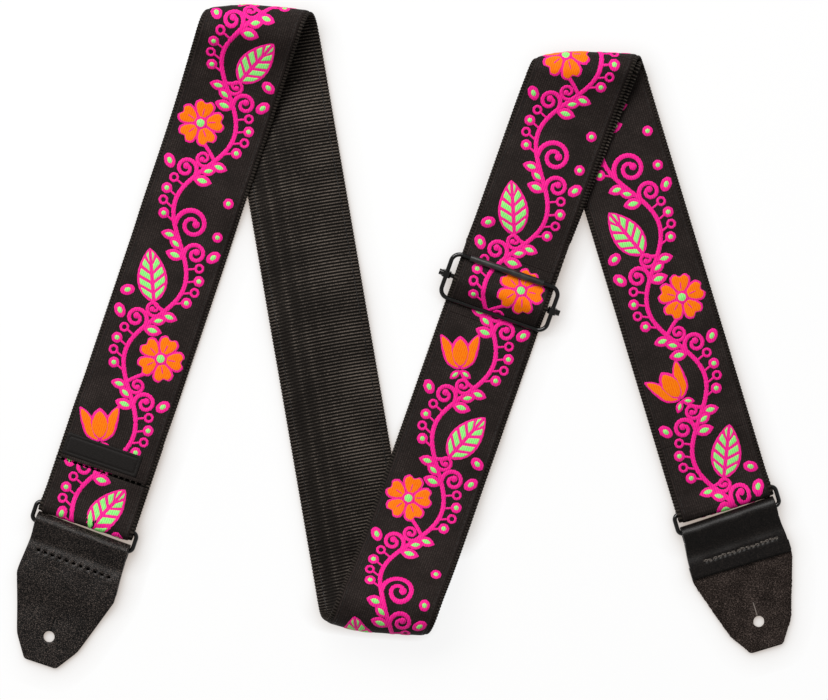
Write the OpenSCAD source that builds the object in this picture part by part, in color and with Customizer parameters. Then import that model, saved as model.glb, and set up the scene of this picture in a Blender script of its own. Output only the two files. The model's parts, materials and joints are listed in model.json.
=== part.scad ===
// Guitar strap, laid out in a zigzag: one long webbing with a woven ribbon sewn on its face, folded
// over three times, a sliding adjuster with a movable bar, and a leather end tab on a wire ring at
// each end. It lies on z = 0 and is seen from +Z.

/* [Strap] */
// Width of the webbing
strap_w = 50; // [40:1:52]
// Thickness of the webbing
webbing_t = 1.4; // [0.8:0.1:1.8]
// Width of the woven ribbon on the webbing's face
ribbon_w = 46; // [30:1:48]
// Thickness of the woven ribbon
ribbon_t = 0.6; // [0.3:0.1:0.8]
// Chamfer of the webbing's woven edges
selvedge = 0.4; // [0.1:0.05:0.5]
// Air between layers of the strap that lie on each other
layer_gap = 0.3; // [0.2:0.05:0.5]

/* [Layout] */
// Left ring's strap bar, to the right of the origin
start_x = -160.7; // [-200:0.1:-120]
// Left ring's strap bar, above the origin
start_y = -90.9; // [-120:0.1:-40]
// First leg, from the left ring up to its fold line
leg_1 = 278; // [220:1:340]
// Second leg, from fold line to fold line
leg_2 = 334.5; // [280:0.5:380]
// Third leg, from fold line to fold line
leg_3 = 322.5; // [300:0.5:380]
// Fourth leg, from its fold line down to the right ring
leg_4 = 240; // [180:1:300]
// Lean of the first leg, to the right going up
lean_1 = 18.6; // [16:0.1:22]
// Lean of the second leg, to the right going down
lean_2 = 9.8; // [8:0.1:12]
// Lean of the third leg, to the right going up
lean_3 = 19.4; // [17:0.1:22]
// Lean of the fourth leg, to the right going down
lean_4 = 16.8; // [15:0.1:20]

/* [Folds] */
// Radius of the first fold's soft loop, at mid thickness
fold_1_r = 10; // [8:0.5:13]
// Radius of the second fold's soft loop
fold_2_r = 13; // [9:0.5:16]
// Radius of the third fold's outer layer
fold_3_r = 7.8; // [7:0.1:9]
// Radius of the third fold's inner layer
fold_3_inner_r = 4; // [3:0.1:4.5]
// Air between the outer and the inner layer at the third fold's crest
fold_3_inner_gap = 1.4; // [0.5:0.1:3]

/* [Rings] */
// Diameter of the ring's wire
ring_wire = 2.2; // [1.8:0.1:3]
// Distance between the ring's two long bars, centre to centre
ring_pitch = 10; // [9.5:0.1:14]
// Air between the strap's edge and the ring's end
ring_side_gap = 0.6; // [0.5:0.1:2]
// Radius of the ring's corners at the wire's centre
ring_corner_r = 2.6; // [2:0.1:3]
// Air between a ring's bar and the webbing or leather that is sewn round it
loop_ease = 0.5; // [0.1:0.05:0.8]

/* [Ends] */
// Length of the strap's tail under the left leg, from the ring
left_tail = 46; // [30:1:60]
// Length of the turn of webbing that moves with the right ring
turn_len = 34; // [32:1:44]
// Label's length across the strap
label_l = 40; // [20:1:44]
// Label's width along the strap
label_w = 11.5; // [8:0.5:14]
// Label's thickness
label_t = 0.5; // [0.3:0.1:1]
// Label's near edge, from the left ring's strap bar
label_from = 26.5; // [20:0.5:32]
// Distance of the label's end from the strap's left edge
label_edge = 2; // [1:0.5:8]

/* [Tabs] */
// Thickness of the leather
leather_t = 2; // [1.6:0.1:2.4]
// How much wider than the strap the tab is below its shoulders
tab_wider = 2.4; // [0:0.2:6]
// How much narrower than the strap the tab is where it turns round the ring
tab_narrower = 0.4; // [0:0.2:12]
// Length of the tab from the ring's bar to its tip
tab_l = 68.4; // [64:0.2:80]
// How far each tab lies off the middle of its ring
tab_off = 0.5; // [0:0.1:0.6]
// Length of the flap that is folded back
flap_l = 23.7; // [18:0.1:28]
// Where the sides start to draw in, from the ring's bar
taper_from = 26; // [20:0.5:30]
// Where the sides have drawn in
taper_to = 57; // [50:0.5:60]
// Width of the tab where the nose starts
nose_w = 32.4; // [26:0.2:40]
// Width of the blunt tip
tip_w = 17; // [10:1:24]
// Diameter of the strap button's hole
button_hole = 5.7; // [4:0.1:8]
// Distance of the hole from the ring's bar
hole_at = 54; // [48:0.1:56]
// Length of the slit beyond the hole's centre
slit_l = 10.2; // [6:0.1:12]
// Width of the slit
slit_w = 0.8; // [0.5:0.1:1.5]

/* [Slider] */
// Distance from the crossing of the third and fourth legs to the movable bar
slider_at = 51.5; // [46:0.5:90]
// How far the frame lies off the middle of the strap, to the left
slider_off = 0.6; // [0:0.1:0.8]
// Diameter of the frame's wire
frame_wire = 2.2; // [1.8:0.1:2.6]
// Distance between the frame's long bars, centre to centre
frame_pitch = 23.5; // [22:0.1:28]
// Air between the strap's edge and the frame's side
frame_side_gap = 2.2; // [2.1:0.1:4]
// Radius of the frame's corners at the wire's centre
frame_corner_r = 4.5; // [3:0.1:5]
// Outer diameter of the sleeve on the upper bar
sleeve_d = 3.4; // [3.4:0.1:4.5]
// Length of the sleeve
sleeve_l = 39; // [30:1:42]
// Diameter of the movable bar
bar_d = 2.4; // [2:0.1:2.8]
// Air between the movable bar and the webbing that is sewn round it
bar_fit = 0.1; // [0.05:0.01:0.15]
// Length of the strap's tail that is sewn back at the bar
bar_tail = 30; // [26:1:34]
// Air round the frame's side wire in the bar's eyes
eye_fit = 0.1; // [0.05:0.01:0.2]
// Wall of the bar's eyes
eye_wall = 1.1; // [0.8:0.1:1.4]
// Length of the bar's eyes along the side wire
eye_l = 3.4; // [2.5:0.1:4]
// Length of the knob outside each eye
knob_l = 1.6; // [0.5:0.1:2.5]
// Diameter of the knob
knob_d = 3; // [2:0.1:3.4]

/* [Hidden] */
bend_step = 6;
round_fn = 48;
hair = 0.02;
slice = 0.01;

strap_t = webbing_t + ribbon_t;
half_t = strap_t / 2;
layer = strap_t + layer_gap;
function level(n) = half_t + n * layer;

// Directions of travel along the legs, and the points where their centre lines meet.
up_z = [0, 0, 1];
along_1 = [sin(lean_1), cos(lean_1), 0];
along_2 = [sin(lean_2), -cos(lean_2), 0];
along_3 = [sin(lean_3), cos(lean_3), 0];
along_4 = [sin(lean_4), -cos(lean_4), 0];
left_bar = [start_x, start_y, 0];
corner_1 = left_bar + leg_1 * along_1;
corner_2 = corner_1 + leg_2 * along_2;
corner_3 = corner_2 + leg_3 * along_3;
right_bar = corner_3 + leg_4 * along_4;
slider = corner_3 - (crossing_length(along_3, along_4) + slider_at) * along_3;

function left_of(d) = [-d[1], d[0], 0];

// A profile is a chain of turns [length, angle], walked in a plane. Each step of the walk gives
// [distance along, height, heading, length travelled].
function arc(r, a) = [r * abs(a) * PI / 180, a];
function steps(turns) = [for (t = turns)
    let (n = max(1, ceil(abs(t[1]) / bend_step))) for (k = [1 : n]) t / n];
function go(at, s) = let (
    chord = abs(s[1]) < slice ? s[0] : s[0] * sin(s[1] / 2) / (s[1] * PI / 360),
    way = at[2] + s[1] / 2)
    [at[0] + chord * cos(way), at[1] + chord * sin(way), at[2] + s[1], at[3] + s[0]];
function walk(turns, z = 0, heading = 0) = let (s = steps(turns))
    [for (i = 0, at = [0, z, heading, 0]; i <= len(s);
        at = i < len(s) ? go(at, s[i]) : at, i = i + 1) at];

// A station of the strap is [centre, step across per millimetre of width, normal of the face].
function station(c, across, heading, along) = [c, across, cos(heading) * up_z - sin(heading) * along];
function flat_station(p, d, z, down = false) = [p + z * up_z, left_of(d), (down ? -1 : 1) * up_z];
function turned(list) = [for (s = list) [s[0], s[1], -s[2]]];
function swapped(list) = [for (s = list) [s[0], -s[1], s[2]]];
function backwards(list) = [for (i = [len(list) - 1 : -1 : 0]) list[i]];

// Soft ramp from one level to another: how hard it turns is set by the length it has.
function ramp(rise, run) = let (a = 2 * atan(abs(rise) / run), r = run / (2 * sin(a)), s = sign(rise))
    [arc(r, s * a), arc(r, -s * a)];

// A fold of the strap from a leg that arrives on top to the leg that leaves below it, bent about the
// line that maps one leg on the other. Its loop is a rising arc, the bend and a settling arc. It
// stays as long as the flat strap was, unless the crest's distance from the fold line is given.
// The result is [stations before the crest, stations after it, the crest's distance].
function crossing_length(d_in, d_out) = strap_w / norm(d_in + d_out);
function fold(corner, d_in, d_out, r, rise, settle, settle_r, z_from, z_in, z_out, run, crest_at = undef) = let (
    crease = (d_in + d_out) / norm(d_in + d_out),
    over = (d_in - d_out) / norm(d_in - d_out),
    slant = (d_in * crease) / (d_in * over),
    across = crease / (left_of(d_in) * crease),
    rise_r = (settle_r * (1 - cos(settle)) + r * (cos(rise) + cos(settle)) - (z_in - z_out))
        / (1 - cos(rise)),
    length = (rise_r * rise + r * (rise + 180 - settle) + settle_r * settle) * PI / 180,
    ahead = rise_r * sin(rise) + r * (1 + sin(rise)),
    back = r * (1 - sin(settle)) + settle_r * sin(settle),
    crest_back = is_undef(crest_at) ? (length - ahead - back) / 2 : crest_at,
    flat = max(1, crossing_length(d_in, d_out) + strap_t - crest_back - ahead),
    before = concat(ramp(z_in - z_from, run), [[flat, 0], arc(rise_r, rise), arc(r, -90 - rise)]),
    after = [arc(r, settle - 90), arc(settle_r, -settle)],
    path = walk(concat(before, after), z_from),
    first = -crest_back - ahead - flat - run,
    end = path[len(path) - 1],
    stretch = -(2 * first + end[0]) / end[3],
    all = [for (at = path)
        station(corner + (first + at[3] * stretch) * slant * crease + (first + at[0]) * over
            + at[1] * up_z, across, at[2], over)],
    crest = len(steps(before)))
    [[for (i = [0 : crest]) all[i]], [for (i = [crest : len(all) - 1]) all[i]], crest_back];

fold_1 = fold(corner_1, along_1, along_2, fold_1_r, rise = 35, settle = 25, settle_r = 30,
    z_from = level(0), z_in = level(1), z_out = level(0), run = 26);
fold_2 = fold(corner_2, -along_3, -along_2, fold_2_r, rise = 45, settle = 35, settle_r = 32,
    z_from = level(0), z_in = level(1), z_out = level(0), run = 26);
fold_3 = fold(corner_3, along_3, along_4, fold_3_r, rise = 25, settle = 8, settle_r = 25,
    z_from = level(2), z_in = level(3), z_out = level(0), run = 18);
inner_fold = fold(corner_3, along_3, along_4, fold_3_inner_r, rise = 20, settle = 20, settle_r = 12,
    z_from = level(1), z_in = level(2), z_out = level(1), run = 18,
    crest_at = fold_3[2] + strap_t + fold_3_inner_gap);

// The strap round a bar, in the plane of its leg: it comes along the floor, turns up round the bar
// and settles on top of itself. Distances run from the bar along the leg.
settle_turn = 20;
settle_r = 8;
function round_bar(bar, d, hole_r, below, above) = let (
    r = hole_r + half_t,
    fall = 2 * r - layer,
    straight = (fall - (r + settle_r) * (1 - cos(settle_turn))) / sin(settle_turn),
    used = r * sin(settle_turn) + straight * cos(settle_turn) + settle_r * sin(settle_turn),
    turns = [[below, 0], arc(r, -180 - settle_turn), [straight, 0], arc(settle_r, settle_turn),
        [above - used, 0]])
    [for (at = walk(turns, half_t, 180))
        station(bar + (below + at[0]) * d + at[1] * up_z, left_of(d), at[2], d)];

// The strap through the slider: under the lower bar, over the movable bar with its loop of webbing,
// and under the sleeve on the upper bar.
bar_hole = bar_d / 2 + bar_fit;
bar_z = bar_hole + strap_t;
lower_reach = frame_wire / 2 + layer_gap + half_t;
loop_reach = bar_z + layer_gap + half_t;
sleeve_reach = sleeve_d / 2 + layer_gap + half_t;
lower_z = level(0) + lower_reach;
upper_z = level(2) + sleeve_reach;
frame_tilt = asin((upper_z - lower_z) / frame_pitch);
frame_half = frame_pitch / 2 * cos(frame_tilt);
frame_z = (upper_z + lower_z) / 2;
weave_half = frame_half + 6;
function up_angle(dz) = asin((lower_reach + loop_reach) / norm([frame_half, dz])) + atan(dz / frame_half);
function down_angle(dz) = asin((sleeve_reach + loop_reach) / norm([frame_half, dz])) - atan(dz / frame_half);
weave_up = up_angle(bar_z - lower_z);
weave_down = down_angle(upper_z - bar_z);
function tangent(dz, reach) = sqrt(pow(norm([frame_half, dz]), 2) - pow(reach, 2));
weave_turns = [[weave_half - frame_half, 0], arc(lower_reach, weave_up),
    [tangent(bar_z - lower_z, lower_reach + loop_reach), 0],
    arc(loop_reach, -weave_up - weave_down),
    [tangent(upper_z - bar_z, sleeve_reach + loop_reach), 0],
    arc(sleeve_reach, weave_down), [weave_half - frame_half, 0]];
weave = [for (at = walk(weave_turns, level(0)))
    station(slider + (at[0] - weave_half) * along_3 + at[1] * up_z, left_of(along_3), at[2], along_3)];

// The runs of the strap, from the left ring to the movable bar.
ring_hole = ring_wire / 2 + loop_ease;
ring_z = ring_hole + strap_t;
left_flat = left_tail + layer;
left_ramp_run = 24;
left_ramp = [for (at = walk(ramp(level(0) - level(1), left_ramp_run), level(1)))
    station(left_bar + (left_flat + at[0]) * along_1 + at[1] * up_z, left_of(along_1), at[2], along_1)];
run_leg_1 = concat(round_bar(left_bar, along_1, ring_hole, left_tail, left_tail), left_ramp, fold_1[0]);
run_leg_2 = concat(swapped(fold_1[1]), backwards(fold_2[1]));
run_leg_3_low = concat(backwards(swapped(fold_2[0])), [weave[0]]);
run_leg_3_high = concat([weave[len(weave) - 1]], fold_3[0]);
turn_from_4 = right_bar - turn_len * along_4;
run_leg_4_low = concat(fold_3[1], [flat_station(turn_from_4, -along_4, level(0), true)]);
run_turn = round_bar(right_bar, -along_4, ring_hole, turn_len, turn_len);
run_leg_4_high = concat([flat_station(turn_from_4, -along_4, level(1))], backwards(turned(inner_fold[1])));
return_from = weave_half - 1;
run_return = concat([flat_station(slider + return_from * along_3, along_3, level(1), true)],
    turned(inner_fold[0]));
run_bar_loop = turned(round_bar(slider, along_3, bar_hole, bar_tail, return_from));

// Sweeps an outline of [across, off the middle] points along a run of stations.
module sweep_run(run, outline) {
    n = len(outline);
    m = len(run);
    points = [for (s = run) for (o = outline) s[0] + o[0] * s[1] + o[1] * s[2]];
    first = run[1][0] - run[0][0];
    right_way = cross(run[0][1], run[0][2]) * first > 0;
    sides = [for (i = [0 : m - 2]) for (k = [0 : n - 1])
        let (a = i * n + k, b = i * n + (k + 1) % n) [a, b, b + n, a + n]];
    ends = [[for (k = [n - 1 : -1 : 0]) k], [for (k = [0 : n - 1]) (m - 1) * n + k]];
    faces = concat(sides, ends);
    polyhedron(points, right_way ? [for (f = faces) [for (i = [len(f) - 1 : -1 : 0]) f[i]]] : faces);
}

webbing_top = half_t - ribbon_t;
webbing_outline = [[-strap_w / 2 + selvedge, -half_t], [strap_w / 2 - selvedge, -half_t],
    [strap_w / 2, -half_t + selvedge], [strap_w / 2, webbing_top - selvedge],
    [strap_w / 2 - selvedge, webbing_top], [-strap_w / 2 + selvedge, webbing_top],
    [-strap_w / 2, webbing_top - selvedge], [-strap_w / 2, -half_t + selvedge]];
ribbon_outline = [[-ribbon_w / 2, webbing_top + hair], [ribbon_w / 2, webbing_top + hair],
    [ribbon_w / 2, half_t], [-ribbon_w / 2, half_t]];

module webbing(run) { color("#2b2825") sweep_run(run, webbing_outline); }
module ribbon(run) { color("#d6308c") sweep_run(run, ribbon_outline); }

// Label: a plain woven patch on the face of the first leg.
module label() {
    color("#171413")
    translate(left_bar + (level(1) + half_t + hair) * up_z)
    rotate(90 - lean_1)
    translate([label_from, strap_w / 2 - label_edge - label_l, 0])
    cube([label_w, label_l, label_t]);
}

// A closed loop of round wire in the XY plane, long along Y.
module wire_loop(length, width, wire, corner) {
    for (side = [-1, 1]) {
        translate([side * width / 2, 0, 0]) rotate([90, 0, 0])
            cylinder(h = length - 2 * corner, d = wire, center = true, $fn = round_fn);
        translate([0, side * length / 2, 0]) rotate([0, 90, 0])
            cylinder(h = width - 2 * corner, d = wire, center = true, $fn = round_fn);
    }
    for (q = [0 : 3])
        translate([(q == 0 || q == 3 ? 1 : -1) * (width / 2 - corner),
            (q < 2 ? 1 : -1) * (length / 2 - corner), 0])
        rotate(q * 90) rotate_extrude(angle = 90, $fn = round_fn)
            translate([corner, 0]) circle(d = wire, $fn = round_fn);
}

ring_l = strap_w + 2 * ring_side_gap + ring_wire;
module ring(bar, lean_out) {
    color("#1c1b1b") translate(bar + ring_z * up_z) rotate(lean_out)
        translate([ring_pitch / 2, 0, 0]) wire_loop(ring_l, ring_pitch, ring_wire, ring_corner_r);
}
module ring_left() { ring(left_bar, -90 - lean_1); }
module ring_right() { ring(right_bar, -90 + lean_4); }

// Leather end tab in its own frame: the ring's outer bar is at the origin and X runs to the tip.
// The leather is folded back round the bar. The left tab lies on its flap and drops beyond it, and
// the right tab lies with its flap on top.
leather_r = ring_hole + leather_t / 2;
leather_fall = 2 * leather_r - leather_t - hair;
leather_straight = (leather_fall - (leather_r + settle_r) * (1 - cos(settle_turn))) / sin(settle_turn);
leather_used = (leather_r + settle_r) * sin(settle_turn) + leather_straight * cos(settle_turn);
function leather_turns(below, above) = concat([[below, 0], arc(leather_r, -180 - settle_turn),
    [leather_straight, 0], arc(settle_r, settle_turn)], above);
drop_from = flap_l + 1;
drop_run = 20;
flap_below = leather_turns(flap_l, concat([[drop_from - leather_used, 0]],
    ramp(-leather_t - hair, drop_run), [[tab_l - drop_from - drop_run, 0]]));
flap_above = leather_turns(tab_l, [[flap_l - leather_used, 0]]);
function thick_line(turns, t) = let (path = walk(turns, -leather_r, 180), x = turns[0][0]) concat(
    [for (at = path) [x + at[0] - sin(at[2]) * t / 2, at[1] + cos(at[2]) * t / 2]],
    [for (i = [len(path) - 1 : -1 : 0]) let (at = path[i])
        [x + at[0] + sin(at[2]) * t / 2, at[1] - cos(at[2]) * t / 2]]);

tab_w = strap_w + tab_wider;
tab_fold_w = strap_w - tab_narrower;
// A half outline from the fold to the tip: [along, half width, radius of the corner].
shoulder = ring_hole + leather_t + 1;
tab_corners = [[-shoulder, tab_fold_w / 2, 0], [shoulder, tab_fold_w / 2, 0.4],
    [shoulder + 2, tab_w / 2, 2], [taper_from, tab_w / 2, 12], [taper_to, nose_w / 2, 14],
    [tab_l, tip_w / 2, 2.4], [tab_l, 0, 0]];
function corner_arc(a, p, b, r) = let (
    u = (a - p) / norm(a - p), v = (b - p) / norm(b - p), half = acos(u * v) / 2,
    middle = (u + v) / norm(u + v), side = (v - u) / norm(v - u), n = ceil((90 - half) / 10))
    [for (k = [-n : n]) let (t = k / n * (90 - half))
        p + middle * r / sin(half) + r * (side * sin(t) - middle * cos(t))];
function xy(p) = [p[0], p[1]];
tab_side = [for (i = [0 : len(tab_corners) - 1]) let (c = tab_corners[i])
    each c[2] == 0 ? [xy(c)] : corner_arc(xy(tab_corners[i - 1]), xy(c), xy(tab_corners[i + 1]), c[2])];
tab_outline = concat(tab_side, [for (i = [len(tab_side) - 2 : -1 : 0]) [tab_side[i][0], -tab_side[i][1]]]);

module tab(turns) {
    depth = 4 * (leather_t + leather_r);
    difference() {
        intersection() {
            rotate([90, 0, 0]) linear_extrude(tab_w + 2, center = true)
                polygon(thick_line(turns, leather_t));
            linear_extrude(depth, center = true) polygon(tab_outline);
        }
        translate([hole_at, 0, 0]) cylinder(h = depth, d = button_hole, center = true, $fn = round_fn);
        translate([hole_at - slit_l, -slit_w / 2, -depth / 2]) cube([slit_l, slit_w, depth]);
    }
}
module tab_left() {
    color("#26211f") translate(left_bar + ring_z * up_z) rotate(-90 - lean_1)
        translate([ring_pitch, tab_off, 0]) tab(flap_below);
}
module tab_right() {
    color("#2c2522") translate(right_bar + ring_z * up_z) rotate(-90 + lean_4)
        translate([ring_pitch, -tab_off, 0]) tab(flap_above);
}

// Slider, in its own frame: X along the strap, Y across it, Z off the frame.
frame_l = strap_w + 2 * frame_side_gap + frame_wire;
module at_slider(z) {
    translate(slider + z * up_z) rotate(90 - lean_3) translate([0, slider_off, 0]) children();
}
module slider_frame() {
    color("#201f1f") at_slider(frame_z) rotate([0, -frame_tilt, 0])
        wire_loop(frame_l, frame_pitch, frame_wire, frame_corner_r);
}
module slider_sleeve() {
    color("#2a2929") at_slider(frame_z) rotate([0, -frame_tilt, 0])
    translate([frame_pitch / 2, 0, 0]) rotate([90, 0, 0]) difference() {
        cylinder(h = sleeve_l, d = sleeve_d, center = true, $fn = round_fn);
        cylinder(h = sleeve_l + 1, d = frame_wire + 2 * hair, center = true, $fn = round_fn);
    }
}
module slider_bar() {
    eye_in = frame_wire / 2 + eye_fit;
    eye_out = eye_in + eye_wall;
    color("#232222") {
        difference() {
            union() {
                at_slider(bar_z) rotate([90, 0, 0])
                    cylinder(h = frame_l, d = bar_d, center = true, $fn = round_fn);
                for (side = [-1, 1]) at_slider(frame_z) rotate([0, -frame_tilt, 0])
                translate([0, side * frame_l / 2, 0]) {
                    rotate([0, 90, 0]) cylinder(h = eye_l, r = eye_out, center = true, $fn = round_fn);
                    rotate([-side * 90, 0, 0]) translate([0, 0, eye_in])
                        cylinder(h = eye_wall + knob_l, d = knob_d, $fn = round_fn);
                }
            }
            for (side = [-1, 1]) at_slider(frame_z) rotate([0, -frame_tilt, 0])
                translate([0, side * frame_l / 2, 0]) rotate([0, 90, 0])
                cylinder(h = frame_pitch, r = eye_in, center = true, $fn = round_fn);
        }
    }
}

webbing(run_leg_1);  // webbing_leg_1
ribbon(run_leg_1);  // ribbon_leg_1
label();
webbing(run_leg_2);  // webbing_leg_2
ribbon(run_leg_2);  // ribbon_leg_2
webbing(run_leg_3_low);  // webbing_leg_3_low
ribbon(run_leg_3_low);  // ribbon_leg_3_low
webbing(weave);  // webbing_weave
ribbon(weave);  // ribbon_weave
webbing(run_leg_3_high);  // webbing_leg_3_high
ribbon(run_leg_3_high);  // ribbon_leg_3_high
webbing(run_leg_4_low);  // webbing_leg_4_low
ribbon(run_leg_4_low);  // ribbon_leg_4_low
webbing(run_turn);  // webbing_turn
ribbon(run_turn);  // ribbon_turn
webbing(run_leg_4_high);  // webbing_leg_4_high
ribbon(run_leg_4_high);  // ribbon_leg_4_high
webbing(run_return);  // webbing_return
ribbon(run_return);  // ribbon_return
webbing(run_bar_loop);  // webbing_bar_loop
ribbon(run_bar_loop);  // ribbon_bar_loop
slider_frame();
slider_sleeve();
slider_bar();
ring_left();
ring_right();
tab_left();
tab_right();
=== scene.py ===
"""Guitar strap laid out in a zigzag: its webbing, woven ribbon, label, leather tabs and hardware.

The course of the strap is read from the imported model. Everything woven or sewn is drawn on the flat
strap, in millimetres across it and along it, and is then laid on that course.
"""

import json
import math
from functools import cache

import bmesh
import bpy
import numpy as np
from bpy.props import FloatProperty, FloatVectorProperty, PointerProperty, StringProperty
from bpy.types import Operator, Panel, PropertyGroup
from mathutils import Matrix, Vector
from mathutils.bvhtree import BVHTree

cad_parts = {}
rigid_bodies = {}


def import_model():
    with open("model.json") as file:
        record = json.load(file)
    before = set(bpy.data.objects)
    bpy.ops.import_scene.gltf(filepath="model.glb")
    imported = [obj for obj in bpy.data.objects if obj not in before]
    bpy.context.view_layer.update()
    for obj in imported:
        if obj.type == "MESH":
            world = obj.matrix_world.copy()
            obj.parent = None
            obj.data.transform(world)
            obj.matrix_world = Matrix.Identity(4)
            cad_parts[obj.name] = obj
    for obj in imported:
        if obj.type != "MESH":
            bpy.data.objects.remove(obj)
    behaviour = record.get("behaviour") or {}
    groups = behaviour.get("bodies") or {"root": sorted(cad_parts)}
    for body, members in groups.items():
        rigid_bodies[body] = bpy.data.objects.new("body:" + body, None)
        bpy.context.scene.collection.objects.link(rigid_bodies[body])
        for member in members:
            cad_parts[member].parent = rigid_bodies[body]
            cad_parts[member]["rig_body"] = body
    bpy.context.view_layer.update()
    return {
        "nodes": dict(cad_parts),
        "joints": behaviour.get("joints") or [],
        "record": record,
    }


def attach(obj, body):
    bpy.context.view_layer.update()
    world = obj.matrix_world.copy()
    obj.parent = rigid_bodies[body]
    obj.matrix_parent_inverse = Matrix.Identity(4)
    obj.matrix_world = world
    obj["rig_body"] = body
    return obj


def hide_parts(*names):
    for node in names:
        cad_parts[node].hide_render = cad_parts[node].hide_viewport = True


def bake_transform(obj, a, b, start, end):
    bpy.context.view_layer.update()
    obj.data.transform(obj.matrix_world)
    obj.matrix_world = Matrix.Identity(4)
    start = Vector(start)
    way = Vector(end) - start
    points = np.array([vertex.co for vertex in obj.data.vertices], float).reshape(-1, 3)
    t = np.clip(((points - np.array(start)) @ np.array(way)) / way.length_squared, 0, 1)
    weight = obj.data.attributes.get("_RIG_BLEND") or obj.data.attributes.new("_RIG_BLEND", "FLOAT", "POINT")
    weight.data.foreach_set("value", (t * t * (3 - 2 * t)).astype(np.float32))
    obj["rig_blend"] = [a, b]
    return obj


bl_info = {
    "name": "Guitar Strap",
    "version": (1, 0, 0),
    "blender": (4, 5, 0),
    "location": "3D View > Sidebar > Strap",
    "description": "Dresses the packed guitar strap: webbing, ribbon, label, leather and hardware",
    "category": "Object",
}

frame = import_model()
MM = 0.001

# Places in the photograph's frame of 828 by 700 pixels.
PHOTO_W = 828
PHOTO_H = 700
IMAGE_POINTS = {
    "left edge": (17, 575),
    "right edge": (793, 560),
    "top edge": (247, 5),
    "bottom edge": (55, 667),
    "left button hole": (48.8, 636.8),
    "right button hole": (758.2, 621.1),
    "slider left knob": (441, 274),
    "slider right knob": (553.3, 313.4),
    "buckle in second leg": (330, 310),
    "cross seam left end": (55, 457),
    "cross seam right end": (147, 487),
    "label": (102, 455),
    "left tab row start": (38, 550),
    "left tab row end": (109, 577.5),
    "right tab row start": (705.5, 561),
    "right tab row end": (776, 538),
}

# The strap in sewing order, from the tail at the left ring to the tail at the slider's bar, with
# what each run rides on: one body, or the two bodies between which it gives.
RUNS = [
    ("leg_1", "strap", None),
    ("leg_2", "strap", None),
    ("leg_3_low", "strap", "adjuster"),
    ("weave", "adjuster", None),
    ("leg_3_high", "adjuster", "strap"),
    ("leg_4_low", "strap", "right_end"),
    ("turn", "right_end", None),
    ("leg_4_high", "right_end", "strap"),
    ("return", "strap", "adjuster"),
    ("bar_loop", "adjuster", None),
]

# Dents of the cross seam in the cloth: place along the strap, depth and half length, in mm.
DENTS = []

# One on the leather's UV map, and the length of the slit at a button hole, in mm.
LEATHER_MAP = 100
SLIT_LENGTH = 10.2

# How far along the right tab its rolled flap ends, in mm, and how far its stitches stray, in m.
FLAP_END = 24.4
UNEVEN = 0.3 * MM

# Size of the leather's mesh, in m.
VOXEL = 0.42 * MM


# ---------------------------------------------------------------------------------------------
# Sizes and colours


def measure(label, about, value):
    return FloatProperty(name=label, description=about, default=value, unit="LENGTH")


def hue(label, thing, value):
    return StringProperty(name=label, description="sRGB colour of " + thing, default=value)


class WebbingSettings(PropertyGroup):
    width: measure("Width", "Width of the webbing", 0.05)
    back: measure("Back", "Depth of the back below mid thickness", 0.001)
    front: measure("Front", "Height of the front above mid thickness", 0.0004)
    rib_pitch: measure("Rib pitch", "Distance from rib to rib", 0.00163)
    rib_depth: measure("Rib depth", "Depth of the valley between ribs", 0.00042)
    rib_bow: measure("Rib bow", "How far the ribs run ahead at the edges", -0.0009)
    rib_slant: FloatProperty(
        name="Rib slant", description="Slope of the ribs across the webbing", default=0.03)
    # The crest's colour carries painted light and the valley's near-black is painted shade, on top of the
    # ribs' real depth.
    crest: hue("Rib", "a rib's crest", "6A6159")
    valley: hue("Valley", "the valley between ribs", "050403")


class RibbonSettings(PropertyGroup):
    width: measure("Width", "Width of the woven ribbon", 0.046)
    top: measure("Top", "Height of its face above mid thickness", 0.001)
    thread: measure("Thread", "Spacing of the ground's threads", 0.0011)
    seam_in: measure("Seam", "Distance of the top stitching from the ribbon's edge", 0.0017)
    stitch: measure("Stitch", "Length of one stitch and its gap", 0.003)
    ground: hue("Ground", "the black ground", "241E1C")
    pink: hue("Pink", "the outlines and vines", "FF1493")
    orange: hue("Orange", "the petals", "FF7800")
    green: hue("Green", "leaves and berries", "92F47E")


class LeatherSettings(PropertyGroup):
    pebble: measure("Pebble", "Width of one pebble of the grain", 0.0005)
    stitch: measure("Stitch", "Spacing of the stitches in the tabs", 0.0036)
    # On the grain side the closed slit is a near-black line, painted shade; on the suede a light grey line.
    slit: measure("Slit", "Width at which the closed slit shows", 0.0005)
    grain: hue("Grain side", "the grain side", "141110")
    flesh: hue("Flesh side", "the suede side", "2A2320")


class HardwareSettings(PropertyGroup):
    paint: hue("Paint", "the satin black paint", "0D0D0C")
    sleeve: hue("Sleeve", "the worn paint on the sleeve", "353633")


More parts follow.
